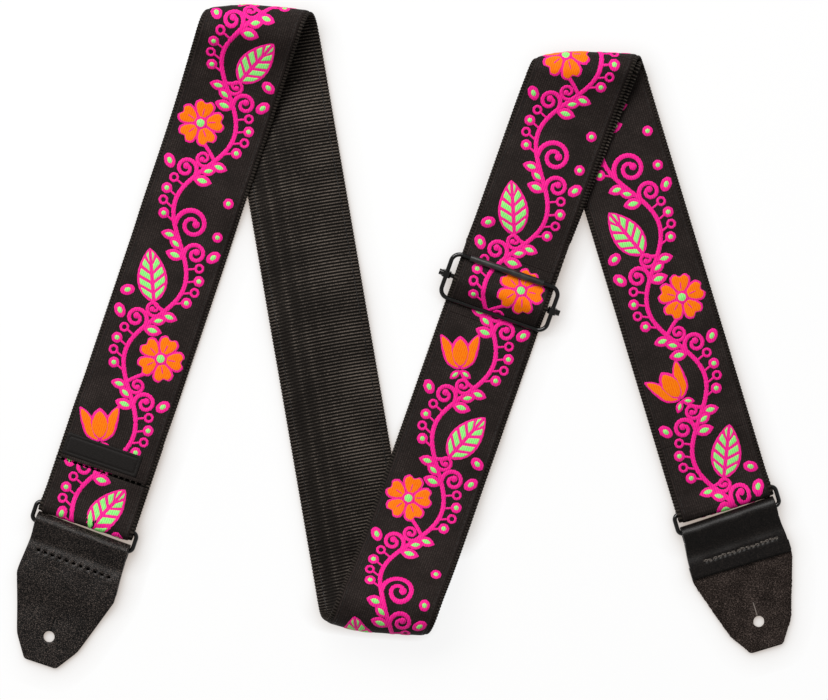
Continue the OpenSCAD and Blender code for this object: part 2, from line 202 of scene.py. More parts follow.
class StageSettings(PropertyGroup):
    camera_height: measure("Camera height", "Height of the camera above the floor", 1.1)
    aim: FloatVectorProperty(
        name="Aim", description="Point of the floor in the middle of the picture",
        size=2, default=(0.0045, -0.0063), unit="LENGTH")
    lens: FloatProperty(name="Lens", description="Focal length in mm on a 36 mm sensor", default=94.17)
    sky: FloatProperty(name="Sky", description="Strength of the even light", default=0.26)
    key: FloatProperty(name="Key", description="Power of the softbox in watts", default=26.5)
    softbox: FloatVectorProperty(
        name="Softbox", description="Width and depth of the softbox",
        size=2, default=(1.5, 0.7), unit="LENGTH")
    softbox_place: FloatVectorProperty(
        name="Softbox place", description="Middle of the softbox",
        size=3, default=(-0.45, 0.85, 1.25), subtype="TRANSLATION", unit="LENGTH")
    paper_glow: FloatProperty(
        name="Paper glow", description="Share of the paper's white that the softbox's shadow doesn't darken",
        default=0.9, subtype="FACTOR")
    # Painted shade on the paper beside the strap: its reach, and the warm colour it goes to.
    painted_shade_reach: measure("Shade reach", "How far the paper is shaded beside the strap", 0.013)
    painted_shade: hue("Shade", "fully shaded paper", "957C65")
    floor: hue("Floor", "the floor", "FFFFFF")


def settings(name):
    return getattr(bpy.context.scene, "strap_" + name)


# ---------------------------------------------------------------------------------------------
# Nodes and materials


def linear(text):
    """An sRGB hex colour as linear red, green, blue and alpha."""
    parts = [int(text[i:i + 2], 16) / 255 for i in (0, 2, 4)]
    return tuple(c / 12.92 if c <= 0.04045 else ((c + 0.055) / 1.055) ** 2.4 for c in parts) + (1.0,)


def add(tree, kind, inputs=None, **choices):
    """Adds a node, makes its choices, and sets or links its inputs by name or number."""
    node = tree.nodes.new(kind)
    for name, value in choices.items():
        setattr(node, name, value)
    for key, value in (inputs or {}).items():
        if isinstance(value, bpy.types.NodeSocket):
            tree.links.new(value, node.inputs[key])
        else:
            node.inputs[key].default_value = value
    return node


def made(tree, kind, inputs=None, **choices):
    """The first output of a new node."""
    return add(tree, kind, inputs, **choices).outputs[0]


def maths(tree, operation, a, b=0.0, c=0.0):
    return made(tree, "ShaderNodeMath", {0: a, 1: b, 2: c}, operation=operation)


def vectors(tree, operation, a, b):
    """Vector maths on two vectors, or on a vector and the number that scales it."""
    second = "Scale" if operation == "SCALE" else 1
    return made(tree, "ShaderNodeVectorMath", {0: a, second: b}, operation=operation)


def combined(tree, x=0.0, y=0.0, z=0.0):
    return made(tree, "ShaderNodeCombineXYZ", {0: x, 1: y, 2: z})


def separated(tree, vector):
    return add(tree, "ShaderNodeSeparateXYZ", {0: vector}).outputs


def weighed(tree, a, share_a, b, share_b):
    """The sum of two values, each times its share."""
    return maths(tree, "ADD", maths(tree, "MULTIPLY", a, share_a), maths(tree, "MULTIPLY", b, share_b))


def noise(tree, vector, scale, detail, roughness=0.5):
    return made(tree, "ShaderNodeTexNoise", {"Vector": vector, "Scale": scale, "Detail": detail,
                                             "Roughness": roughness})


def yarn_noise(tree, flat, stretch, detail, roughness=0.5):
    """Noise that is drawn out along its threads."""
    return noise(tree, vectors(tree, "MULTIPLY", flat, stretch), 1.0, detail, roughness)


def mixed(tree, factor, a, b):
    return add(tree, "ShaderNodeMix", {"Factor": factor, "A": a, "B": b}, data_type="RGBA").outputs["Result"]


def ramp(tree, factor, stops):
    """A colour ramp through (place, hex colour) stops."""
    node = add(tree, "ShaderNodeValToRGB", {"Fac": factor})
    elements = node.color_ramp.elements
    elements[0].position, elements[-1].position = stops[0][0], stops[-1][0]
    elements[0].color, elements[-1].color = linear(stops[0][1]), linear(stops[-1][1])
    for place, colour in stops[1:-1]:
        elements.new(place).color = linear(colour)
    return node.outputs[0]


def new_material(name, roughness, specular):
    """A material with one Principled shader, and its tree."""
    made_material = bpy.data.materials.new(name)
    made_material.use_nodes = True
    tree = made_material.node_tree
    shader = tree.nodes["Principled BSDF"]
    shader.inputs["Roughness"].default_value = roughness
    shader.inputs["Specular IOR Level"].default_value = specular
    return made_material, tree


def coloured(dressed, colour, height=None, strength=0.0, distance=0.0):
    """Gives a material its colour and its bump, and returns it."""
    tree = dressed.node_tree
    shader = tree.nodes["Principled BSDF"]
    tree.links.new(colour, shader.inputs["Base Color"])
    if height is not None:
        bump = made(tree, "ShaderNodeBump", {"Height": height, "Strength": strength, "Distance": distance})
        tree.links.new(bump, shader.inputs["Normal"])
    return dressed


def strap_millimetres(tree):
    """The flat strap's own coordinates, in millimetres across and along, from its UV map."""
    uv = made(tree, "ShaderNodeUVMap", uv_map="UVMap")
    return vectors(tree, "MULTIPLY", uv, (settings("webbing").width / MM, course.length, 1.0))


def own_place(tree):
    return add(tree, "ShaderNodeTexCoord").outputs["Object"]


def grosgrain_webbing():
    """Ribbed polyester webbing. Painted light makes its crests a dull grey and painted shade makes its
    valleys nearly black, the face's borders darker still.
    """
    w = settings("webbing")
    webbing, tree = new_material("grosgrain_webbing", 0.7, 0.07)
    flat = strap_millimetres(tree)
    crest, painted_shade = (add(tree, "ShaderNodeAttribute", attribute_name=name).outputs["Fac"]
                    for name in ("crest", "painted_shade"))
    yarn = yarn_noise(tree, flat, (1.9, 0.7, 1.0), 3.0, 0.65)
    drift = noise(tree, flat, 0.05, 1.0)
    # Painted light on each rib's crest, varied by yarn tone and a slow drift; where it is low, the colour
    # falls to the valley's painted shade.
    light = maths(tree, "MULTIPLY", maths(tree, "POWER", crest, 2.0), maths(tree, "ADD", yarn, 0.42))
    light = maths(tree, "MULTIPLY", light, maths(tree, "MULTIPLY_ADD", drift, 0.5, 0.78))
    back = ramp(tree, light, [(0.0, w.valley), (0.4, "120F0D"), (0.75, "302B27"), (1.0, w.crest)])
    # Darker colours for the face's borders beside the ribbon: painted shade.
    border = ramp(tree, light, [(0.0, "080605"), (0.5, "1B1714"), (1.0, "3A342F")])
    return coloured(webbing, mixed(tree, painted_shade, back, border), yarn, 0.5, 0.0003)


def thread_grid(tree, flat, spacing):
    """Height of a plain weave: threads along and across, spaced as given in millimetres."""
    turns = vectors(tree, "MULTIPLY", flat, (math.pi / spacing, math.pi / spacing, 1.0))
    along, across = (maths(tree, "ABSOLUTE", maths(tree, "SINE", part))
                     for part in separated(tree, turns)[:2])
    return maths(tree, "MULTIPLY", along, maths(tree, "MULTIPLY_ADD", across, 0.5, 0.5))


def jacquard_ground():
    """Black ground of the jacquard ribbon: fine matt yarn with painted grey glints, mixed with random yarn
    tone and brighter where threads cross. The weave is drawn about twice as coarse as it is, so that it
    shows."""
    r = settings("ribbon")
    ground, tree = new_material("jacquard_ground", 0.75, 0.09)
    flat = strap_millimetres(tree)
    weave = thread_grid(tree, flat, r.thread / MM)
    painted_glints_and_yarn_tone = yarn_noise(tree, flat, (1.5, 0.8, 1.0), 4.0, 0.8)
    level = weighed(tree, painted_glints_and_yarn_tone, 0.8, noise(tree, flat, 0.07, 3.0), 0.3)
    level = maths(tree, "MULTIPLY", level, maths(tree, "MULTIPLY_ADD", weave, 0.36, 0.72))
    colour = ramp(tree, level, [(0.2, "0B0908"), (0.5, r.ground), (0.84, "4A413E")])
    return coloured(ground, colour, level, 0.5, 0.0003)


def bright_yarn(name, colour, dark, light):
    """Floss of a woven figure: floats run along the strap, with darker lines between them."""
    yarn, tree = new_material(name, 0.6, 0.12)
    flat = strap_millimetres(tree)
    turn = maths(tree, "MULTIPLY", separated(tree, flat)[0], math.pi * MM / settings("ribbon").thread)
    line = maths(tree, "ABSOLUTE", maths(tree, "SINE", turn))
    tone = weighed(tree, line, 0.4, yarn_noise(tree, flat, (1.8, 0.8, 1.0), 3.0), 0.8)
    return coloured(yarn, ramp(tree, tone, [(0.28, dark), (0.62, colour), (1.0, light)]), tone, 0.4, 0.0002)


def sewing_thread(name, dark, light, shine=0.3):
    """Sewing thread, twisted and a little glossier than what it sinks into, or dull down in its holes, where
    its near-black colour is partly painted shade of the holes.
    """
    thread, tree = new_material(name, 0.55, shine)
    grain = noise(tree, own_place(tree), 1600.0, 3.0)
    return coloured(thread, ramp(tree, grain, [(0.3, dark), (0.7, light)]))


def satin_label():
    """Damask label: close black satin with very fine threads that run across the strap."""
    satin, tree = new_material("satin_label", 0.5, 0.16)
    flat = strap_millimetres(tree)
    weave = thread_grid(tree, flat, 0.7)
    tone = weighed(tree, weave, 0.3, yarn_noise(tree, flat, (0.5, 2.4, 1.0), 3.0), 0.7)
    return coloured(satin, ramp(tree, tone, [(0.2, "080707"), (0.8, "201C1A")]), tone, 0.4, 0.0002)


def on_slit(tree):
    """1 on the cut from the button hole, by the leather's own UV map, and 0 elsewhere."""
    u, v, _ = separated(tree, made(tree, "ShaderNodeUVMap", uv_map="UVMap"))
    off = maths(tree, "ABSOLUTE", maths(tree, "SUBTRACT", v, 0.5))
    near = maths(tree, "LESS_THAN", off, settings("leather").slit / 2 / MM / LEATHER_MAP)
    start = maths(tree, "GREATER_THAN", u, 0.5 - SLIT_LENGTH / LEATHER_MAP)
    return maths(tree, "MULTIPLY", near, maths(tree, "MULTIPLY", start, maths(tree, "LESS_THAN", u, 0.5)))


def grain_leather(name, pebbled, dark, light):
    """Grain side of chrome-tanned leather: small pebbles whose tops are painted lighter, a painted highlight,
    and whose creases are painted darker, a painted shade, with fine specks that are partly painted glints and
    patches of wear. On the right tab it is rolled nearly smooth."""
    s = settings("leather")
    leather, tree = new_material(name, 0.36, 0.22)
    place = own_place(tree)
    pebbles = made(tree, "ShaderNodeTexVoronoi", {"Vector": place, "Scale": 1 / s.pebble},
                   feature="SMOOTH_F1")
    specks_and_painted_glints = noise(tree, place, 2700.0, 1.0)
    wear = noise(tree, place, 60.0, 4.0)
    # Lighter on the pebbles' tops, a painted highlight, darker in their creases, a painted shade; the specks
    # are partly painted glints.
    tone = weighed(tree, maths(tree, "SUBTRACT", 1.0, pebbles), 0.35, specks_and_painted_glints, 0.55)
    tone = maths(tree, "ADD", tone, maths(tree, "MULTIPLY", wear, 0.07))
    colour = ramp(tree, tone, [(0.38, dark), (0.53, s.grain), (0.67, light)])
    # The closed slit is painted near black: painted shade of the cut.
    return coloured(leather, mixed(tree, on_slit(tree), colour, linear("030303")), tone, pebbled, 0.0004)


def suede_leather():
    """Flesh side of the same leather: short matt nap in drifts, with no shine."""
    suede, tree = new_material("suede_leather", 0.95, 0.08)
    place = own_place(tree)
    tone = weighed(tree, noise(tree, place, 1500.0, 3.0, 0.7), 0.85, noise(tree, place, 110.0, 3.0), 0.2)
    colour = ramp(tree, tone, [(0.36, "0C0908"), (0.53, settings("leather").flesh), (0.72, "6A5D57")])
    return coloured(suede, mixed(tree, on_slit(tree), colour, linear("857C76")), tone, 0.7, 0.0005)


def satin_paint(name, top, roughness):
    """Satin black paint on steel, thin enough to show faint lines and greyer where it has rubbed."""
    paint, tree = new_material(name, roughness, 0.6)
    wear = noise(tree, own_place(tree), 260.0, 5.0)
    return coloured(paint, ramp(tree, wear, [(0.3, "090909"), (0.62, top)]), wear, 0.1, 0.0002)


@cache
def material(name):
    """The named material, made the first time that it is asked for."""
    r, h = settings("ribbon"), settings("hardware")
    maker, *values = {
        "webbing": (grosgrain_webbing,),
        "ground": (jacquard_ground,),
        "pink": (bright_yarn, "pink_yarn", r.pink, "D0107C", "FF3FA8"),
        "orange": (bright_yarn, "orange_yarn", r.orange, "F25C00", "FF9408"),
        "green": (bright_yarn, "green_yarn", r.green, "62DC5E", "B4FFA0"),
        "thread": (sewing_thread, "black_thread", "070606", "221E1B"),
        # Near-black sunken thread: partly the thread's own black, partly painted shade in its holes.
        "hole thread": (sewing_thread, "sunken_thread", "010101", "060505", 0.0),
        "worn thread": (sewing_thread, "worn_thread", "2E2926", "7E766F"),
        "label": (satin_label,),
        # The light ends of both grain ramps hold the painted highlights on pebble tops and the painted
        # glints.
        "grain": (grain_leather, "grain_leather", 0.5, "050404", "5E544E"),
        "smooth grain": (grain_leather, "rolled_grain_leather", 0.2, "060505", "2B2623"),
        "suede": (suede_leather,),
        "paint": (satin_paint, "satin_paint", h.paint, 0.1),
        "sleeve": (satin_paint, "rubbed_sleeve_paint", h.sleeve, 0.35),
    }[name]
    return maker(*values)


# ---------------------------------------------------------------------------------------------
# The strap's course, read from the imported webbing


def end_ring(mesh):
    """The vertices of one end face: a flat eight-cornered face that meets the rest at sharp edges."""
    left = set(mesh.faces)
    while left:
        first = left.pop()
        patch, open_faces = {first}, [first]
        while open_faces:
            face = open_faces.pop()
            for edge in face.edges:
                for other in edge.link_faces:
                    if other in left and other.normal.angle(first.normal) < 0.002:
                        left.discard(other)
                        patch.add(other)
                        open_faces.append(other)
        corners = {v for f in patch for v in f.verts}
        rim = [e for f in patch for e in f.edges if sum(o in patch for o in e.link_faces) == 1]
        wide = max(e.calc_length() for e in rim) > 0.9 * settings("webbing").width
        if len(corners) == 8 and wide and all(e.calc_face_angle() > 0.5 for e in rim):
            return corners
    raise RuntimeError("a webbing node has no end face")


def stations(node):
    """The rings of a packed webbing node from end to end, as centre and half-width arrow in mm."""
    mesh = welded(node)
    ring = end_ring(mesh)
    seen, found = set(), []
    while ring:
        seen |= ring
        places = np.array([v.co for v in ring]) / MM
        centre = places.mean(axis=0)
        far = places[np.argmax(np.linalg.norm(places - centre, axis=1))] - centre
        side = places[(places - centre) @ far > 0].mean(axis=0) - centre
        found.append((centre, side))
        ring = {e.other_vert(v) for v in ring for e in v.link_edges} - seen
    mesh.free()
    return found


def hermite(a, b, way_a, way_b, count):
    """Points of a smooth curve from a to b, without b."""
    t = np.arange(count)[:, None] / count
    reach = np.linalg.norm(b - a)
    return ((2 * t**3 - 3 * t**2 + 1) * a + (t**3 - 2 * t**2 + t) * reach * way_a
            + (3 * t**2 - 2 * t**3) * b + (t**3 - t**2) * reach * way_b)


class Course:
    """The flat strap laid in space. Its flat places are x across, y along and z off mid thickness."""

    step = 0.25
    run_spans = {}
    # Fold crests, as [place along, way out of the fold, side of the corner that sinks, reach of a loose
    # loop round a ring], and gentle buckles, as [place along, height, half length].
    crests = []
    buckles = []
    crest_bow, crest_half = 0.9, 9.0
    loop_half = 5.0
    corner_sink, corner_from, corner_run = 3.0, 4.0, 22.0

    def __init__(self):
        w = settings("webbing")
        centres, sides, marks = [], [], []
        for name, _, _ in RUNS:
            run = stations("webbing_" + name)
            if centres and np.linalg.norm(run[-1][0] - centres[-1]) < np.linalg.norm(run[0][0] - centres[-1]):
                run.reverse()
            if not centres:
                after = stations("webbing_" + RUNS[1][0])
                ends = [after[0][0], after[-1][0]]
                near = [min(np.linalg.norm(p[0] - e) for e in ends) for p in (run[0], run[-1])]
                if near[0] < near[1]:
                    run.reverse()
            if centres:
                run = run[1:]
            centres += [p[0] for p in run]
            sides += [p[1] for p in run]
            marks.append(len(centres) - 1)
        self.lay(np.array(centres), np.array(sides), marks)
        self.shift = (w.back - w.front) / 2 / MM
        self.length = float(self.s[-1])

    def lay(self, centres, sides, marks):
        for i in range(1, len(sides)):
            if sides[i] @ sides[i - 1] < 0:
                sides[i] = -sides[i]
        legs = np.diff(centres, axis=0)
        long = np.linalg.norm(legs, axis=1)
        ways = legs / long[:, None]
        bends = []
        for i in range(len(centres)):
            before, after = max(i - 1, 0), min(i, len(ways) - 1)
            share = long[after] / (long[before] + long[after])
            share = 1.0 if share < 0.25 else 0.0 if share > 0.75 else share
            way = ways[before] * share + ways[after] * (1 - share)
            bends.append(way / np.linalg.norm(way))
        points, arrows, span_ends = [], [], {}
        for i in range(len(legs)):
            count = max(1, math.ceil(long[i] / self.step))
            points.append(hermite(centres[i], centres[i + 1], bends[i], bends[i + 1], count))
            t = np.arange(count)[:, None] / count
            arrows.append(sides[i] * (1 - t) + sides[i + 1] * t)
            span_ends[i + 1] = sum(len(p) for p in points)
        points.append(centres[-1:])
        arrows.append(sides[-1:])
        self.c = np.concatenate(points)
        arrow = np.concatenate(arrows)
        steps = np.linalg.norm(np.diff(self.c, axis=0), axis=1)
        self.s = np.concatenate([[0.0], np.cumsum(steps)])
        way = np.gradient(self.c, axis=0)
        way /= np.linalg.norm(way, axis=1)[:, None]
        lean = (arrow * way).sum(axis=1)[:, None]
        square = arrow - lean * way
        size = np.linalg.norm(square, axis=1)[:, None]
        self.across = arrow / size
        self.skew = (lean / size)[:, 0]
        self.up = np.cross(square / size, way)
        self.turn_face_up()
        start = 0.0
        for (name, _, _), mark in zip(RUNS, marks):
            end = float(self.s[min(span_ends.get(mark, len(self.s) - 1), len(self.s) - 1)])
            self.run_spans[name] = (start, end)
            start = end
        for run, side in (("leg_1", -1), ("leg_2", -1), ("leg_3_high", -1)):
            end = self.run_spans[run][1]
            self.crests.append((end, self.level_out(int(np.searchsorted(self.s, end)) - 1), side, 0.0))
        turned = self.s[(np.abs(self.up[:, 2]) < 0.3) & (self.s < 90)]
        middle = sum(self.run_spans["turn"]) / 2
        for place in (float(turned.mean()), middle):
            self.crests.append((place, self.level_out(int(np.searchsorted(self.s, place))), 0, 1.3))

    def level_out(self, here):
        """The level way out of a fold or loop at a station."""
        level = self.up[here] * [1, 1, 0]
        return level / np.linalg.norm(level)

    def turn_face_up(self):
        """Points the face's side to where the ribbon is, and x to the right of the way."""
        ribbon = np.array([v.co for v in frame["nodes"]["ribbon_leg_1"].data.vertices]) / MM
        first = ribbon[np.argmin(np.linalg.norm(ribbon - self.c[0], axis=1))]
        if (first - self.c[0]) @ self.up[0] < 0:
            self.up = -self.up
            self.across = -self.across
            self.skew = -self.skew

    def at(self, flat):
        """Places in metres of flat points given in millimetres."""
        flat = np.asarray(flat, float)
        x, y, z = flat[:, 0], flat[:, 1], flat[:, 2] + self.shift
        s = y.copy()
        for _ in range(8):
            s = y - x * np.interp(s, self.s, self.skew)
        parts = [np.stack([np.interp(s, self.s, table[:, k]) for k in range(3)], axis=1)
                 for table in (self.c, self.across, self.up)]
        up = parts[2] / np.linalg.norm(parts[2], axis=1)[:, None]
        place = parts[0] + x[:, None] * parts[1] + z[:, None] * up
        for crest, out, side, reach in self.crests:
            corner = np.clip((side * x - self.corner_from) / self.corner_run, 0, 1) ** 1.7
            pull = self.crest_bow * np.cos(math.pi * x / 56) - self.corner_sink * corner if side else reach
            half = self.crest_half if side else self.loop_half
            place += (pull * np.exp(-((s - crest) / half) ** 2))[:, None] * out
        for middle, height, half in self.buckles:
            place[:, 2] += height * np.exp(-((y - middle) / half) ** 2)
        return place * MM

    def normal(self, flat):
        flat = np.asarray(flat, float)
        return (self.at(flat + [0, 0, 1]) - self.at(flat)) / MM

    def nearest(self, place, face_up=True):
        """The flat x and y of the place on the face that is nearest to a point in metres."""
        point = np.array(place) / MM
        facing = self.up[:, 2] > 0.7 if face_up else self.up[:, 2] < 2
        gap = np.linalg.norm(self.c - point, axis=1) + np.where(facing, 0, 1e6)
        best = int(np.argmin(gap))
        x = float((point - self.c[best]) @ self.across[best])
        y = float(self.s[best])
        for _ in range(8):
            here = self.at([[x, y, 0]])[0] / MM
            x += float((point - here) @ self.across[best])
        return x, y


course = None


# ---------------------------------------------------------------------------------------------
# Pieces


def new_object(name, data):
    """A new object, linked to the scene."""
    piece = bpy.data.objects.new(name, data)
    bpy.context.scene.collection.objects.link(piece)
    return piece


def read(items, key):
    """One vector of each item, as rows."""
    values = np.zeros(len(items) * 3)
    items.foreach_get(key, values)
    return values.reshape(-1, 3)


def map_points(mesh, name, uv):
    """A UV map from one place for each point."""
    layer = mesh.uv_layers.new(name=name)
    corners = np.zeros(len(mesh.loops), int)
    mesh.loops.foreach_get("vertex_index", corners)
    layer.data.foreach_set("uv", uv[corners].astype(np.float32).ravel())


def share_across(flat):
    """0 to 1 across the webbing."""
    return flat[:, 0] * MM / settings("webbing").width + 0.5


def mesh_object(name, points, faces, flat=None, slots=("ground",)):
    """A mesh of points in metres. With their flat places it also gets the strap's UV map."""
    mesh = bpy.data.meshes.new(name)
    mesh.from_pydata([tuple(p) for p in points], [], [tuple(f) for f in faces])
    if flat is not None:
        flat = np.asarray(flat)
        map_points(mesh, "UVMap", np.stack([share_across(flat), flat[:, 1] / course.length], axis=1))
    mesh.shade_smooth()
    for slot_name in slots:
        mesh.materials.append(material(slot_name))
    return new_object(name, mesh)


def store(mesh, name, kind, values):
    attribute = mesh.attributes.new(name, kind, "POINT")
    key = "vector" if kind == "FLOAT_VECTOR" else "value"
    attribute.data.foreach_set(key, np.asarray(values, np.float32).ravel())


def swept(outline, places):
    """Flat points of an outline of (x, z) at each place along the strap."""
    flat = np.zeros((len(places) * len(outline), 3))
    flat[:, [0, 2]] = np.tile(np.asarray(outline, float), (len(places), 1))
    flat[:, 1] = np.repeat(places, len(outline))
    return flat


def strip_faces(rings, ring_size):
    """Faces of a closed tube of so many rings, with its two ends."""
    faces = []
    for i in range(rings - 1):
        for k in range(ring_size):
            a, b = i * ring_size + k, i * ring_size + (k + 1) % ring_size
            faces.append((a, a + ring_size, b + ring_size, b))
    faces.append(tuple(range(ring_size)))
    faces.append(tuple(range(rings * ring_size - 1, (rings - 1) * ring_size - 1, -1)))
    return faces


def finished(piece):
    """Turns a piece and its modifiers into a plain mesh."""
    piece.update_tag()
    depsgraph = bpy.context.evaluated_depsgraph_get()
    depsgraph.update()
    piece_mesh = bpy.data.meshes.new_from_object(piece.evaluated_get(depsgraph), depsgraph=depsgraph)
    piece.modifiers.clear()
    piece.data = piece_mesh
    return piece_mesh


def smooth(mesh, sharp_from):
    mesh.shade_smooth()
    mesh.set_sharp_from_angle(angle=math.radians(sharp_from))


def with_nodes(piece, tree, values):
    """Runs a Geometry Nodes tree on a piece and keeps the result as its plain mesh."""
    modifier = piece.modifiers.new(tree.name, "NODES")
    modifier.node_group = tree
    for item in tree.interface.items_tree:
        if item.in_out == "INPUT" and item.name in values:
            modifier[item.identifier] = values[item.name]
    smooth(finished(piece), 65)
    return piece


def node_tree(name, inputs):
    """A Geometry Nodes tree with geometry in and out and the named inputs, by kind of socket."""
    tree = bpy.data.node_groups.new(name, "GeometryNodeTree")
    tree.interface.new_socket("Geometry", in_out="INPUT", socket_type="NodeSocketGeometry")
    tree.interface.new_socket("Geometry", in_out="OUTPUT", socket_type="NodeSocketGeometry")
    for kind, labels in inputs.items():
        for label in labels.split(", "):
            tree.interface.new_socket(label, in_out="INPUT", socket_type="NodeSocket" + kind)
    return tree, tree.nodes.new("NodeGroupInput").outputs, tree.nodes.new("NodeGroupOutput").inputs


def named(tree, name, kind="FLOAT"):
    return made(tree, "GeometryNodeInputNamedAttribute", {"Name": name}, data_type=kind)


def stored(tree, geometry, name, value, kind="FLOAT", domain="POINT"):
    return made(tree, "GeometryNodeStoreNamedAttribute", {"Geometry": geometry, "Name": name, "Value": value},
                data_type=kind, domain=domain)


def realized(tree, geometry):
    return made(tree, "GeometryNodeRealizeInstances", {0: geometry})


def object_info(tree, source):
    return add(tree, "GeometryNodeObjectInfo", {"Object": source}).outputs["Geometry"]


@cache
def ribs_tree():
    """Sinks the valleys between the webbing's ribs."""
    tree, given, result = node_tree("Ribs", {"Float": "Depth", "Material": "Webbing"})
    turn = maths(tree, "MULTIPLY", named(tree, "rib_phase"), math.pi)
    crest = maths(tree, "POWER", maths(tree, "ABSOLUTE", maths(tree, "COSINE", turn)), 0.7)
    # Kept for the material, which paints light on the crests and shade in the valleys from it.
    kept = stored(tree, given["Geometry"], "crest", crest)
    sunk = maths(tree, "MULTIPLY", maths(tree, "SUBTRACT", crest, 1.0), given["Depth"])
    sunk = maths(tree, "MULTIPLY", sunk, named(tree, "rib_share"))
    offset = vectors(tree, "SCALE", named(tree, "outwards", "FLOAT_VECTOR"), sunk)
    moved = realized(tree, made(tree, "GeometryNodeSetPosition", {"Geometry": kept, "Offset": offset}))
    dressed = made(tree, "GeometryNodeSetMaterial", {0: moved, "Material": given["Webbing"]})
    tree.links.new(dressed, result[0])
    return tree


@cache
def laid_tree():
    """Repeats a flat tile along the strap and lays it on the ribbon's face.

    The tile's points carry their element's middle, so that an element stays whole, on the run in
    which its middle lies. Its colour number picks one of three materials. Where the face lies down, its
    relief is pressed to a third."""
    tree, given, result = node_tree("Laid pattern", {
        "Object": "Tile", "Int": "Count", "Material": "First, Second, Third",
        "Float": "Start, Pitch, From, To, Width, Cloth from, Cloth length, Strap length"})
    here = made(tree, "GeometryNodeInputPosition")
    x, y, z = separated(tree, here)
    line = made(tree, "GeometryNodeMeshLine", {
        "Count": given["Count"], "Start Location": combined(tree, y=given["Start"]),
        "Offset": combined(tree, y=given["Pitch"])})
    tile = stored(tree, object_info(tree, given["Tile"]), "own_y", y)
    real = realized(tree, made(tree, "GeometryNodeInstanceOnPoints", {"Points": line, "Instance": tile}))
    middle = maths(tree, "ADD", named(tree, "middle"), maths(tree, "SUBTRACT", y, named(tree, "own_y")))
    outside = maths(tree, "MAXIMUM", maths(tree, "LESS_THAN", middle, given["From"]),
                    maths(tree, "SUBTRACT", 1.0, maths(tree, "LESS_THAN", middle, given["To"])))
    inside = made(tree, "GeometryNodeDeleteGeometry", {"Geometry": real, "Selection": outside})
    u = maths(tree, "ADD", maths(tree, "DIVIDE", x, given["Width"]), 0.5)
    v = maths(tree, "DIVIDE", maths(tree, "SUBTRACT", y, given["Cloth from"]), given["Cloth length"])
    place = combined(tree, *(made(tree, "ShaderNodeClamp", {0: n, 1: 0.0005, 2: 0.9995}) for n in (u, v)))
    map_uv = named(tree, "cloth_uv", "FLOAT_VECTOR")
    on_cloth, off_cloth = (made(tree, "GeometryNodeSampleUVSurface", {
        "Mesh": given["Geometry"], "Value": value, "UV Map": map_uv, "Sample UV": place},
        data_type="FLOAT_VECTOR") for value in (here, named(tree, "cloth_normal", "FLOAT_VECTOR")))
    down = maths(tree, "MINIMUM", separated(tree, off_cloth)[2], 0.0)
    pressed = maths(tree, "MULTIPLY_ADD", down, 0.65, 1.0)
    z = maths(tree, "MULTIPLY_ADD", maths(tree, "MAXIMUM", z, 0.0), pressed, maths(tree, "MINIMUM", z, 0.0))
    target = vectors(tree, "ADD", on_cloth, vectors(tree, "SCALE", off_cloth, z))
    strap_uv = combined(tree, u, maths(tree, "DIVIDE", y, given["Strap length"]))
    mapped = stored(tree, inside, "UVMap", strap_uv, "FLOAT2", "CORNER")
    dressed = realized(tree, made(tree, "GeometryNodeSetPosition", {"Geometry": mapped, "Position": target}))
    dressed = made(tree, "GeometryNodeSetMaterial", {0: dressed, "Material": given["First"]})
    for number, label in ((0.5, "Second"), (1.5, "Third")):
        chosen = maths(tree, "GREATER_THAN", named(tree, "colour"), number)
        dressed = made(tree, "GeometryNodeSetMaterial", {0: dressed, "Selection": chosen,
                                                         "Material": given[label]})
    tree.links.new(dressed, result[0])
    return tree


def settle(piece, run):
    """Makes a piece of a run ride one body, or give between two bodies."""
    body, other = next((a, b) for name, a, b in RUNS if name == run)
    if other is None:
        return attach(piece, body)
    start, end = give_ends(run)
    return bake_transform(piece, body, other, start=start, end=end)


def give_ends(run):
    """Where a run starts and ends to give: between its folds and the piece that it is held by."""
    start, end = course.run_spans[run]
    hold = 8.0
    crossing = 100.0
    covered = 52.0
    ends = {
        "leg_3_low": (start + crossing, end - hold),
        "leg_3_high": (start + hold, end - covered),
        "leg_4_low": (start + crossing, end - hold),
        "leg_4_high": (start + hold, end - crossing),
        "return": (start + covered, end - hold),
    }[run]
    return [Vector(course.at([[0.0, y, 0.0]])[0]) for y in ends]


def dented(y):
    """How far the cloth is sunk at places along the strap."""
    sunk = np.zeros_like(y)
    for place, depth, half in DENTS:
        sunk += depth * np.exp(-((y - place) / half) ** 2)
    return sunk


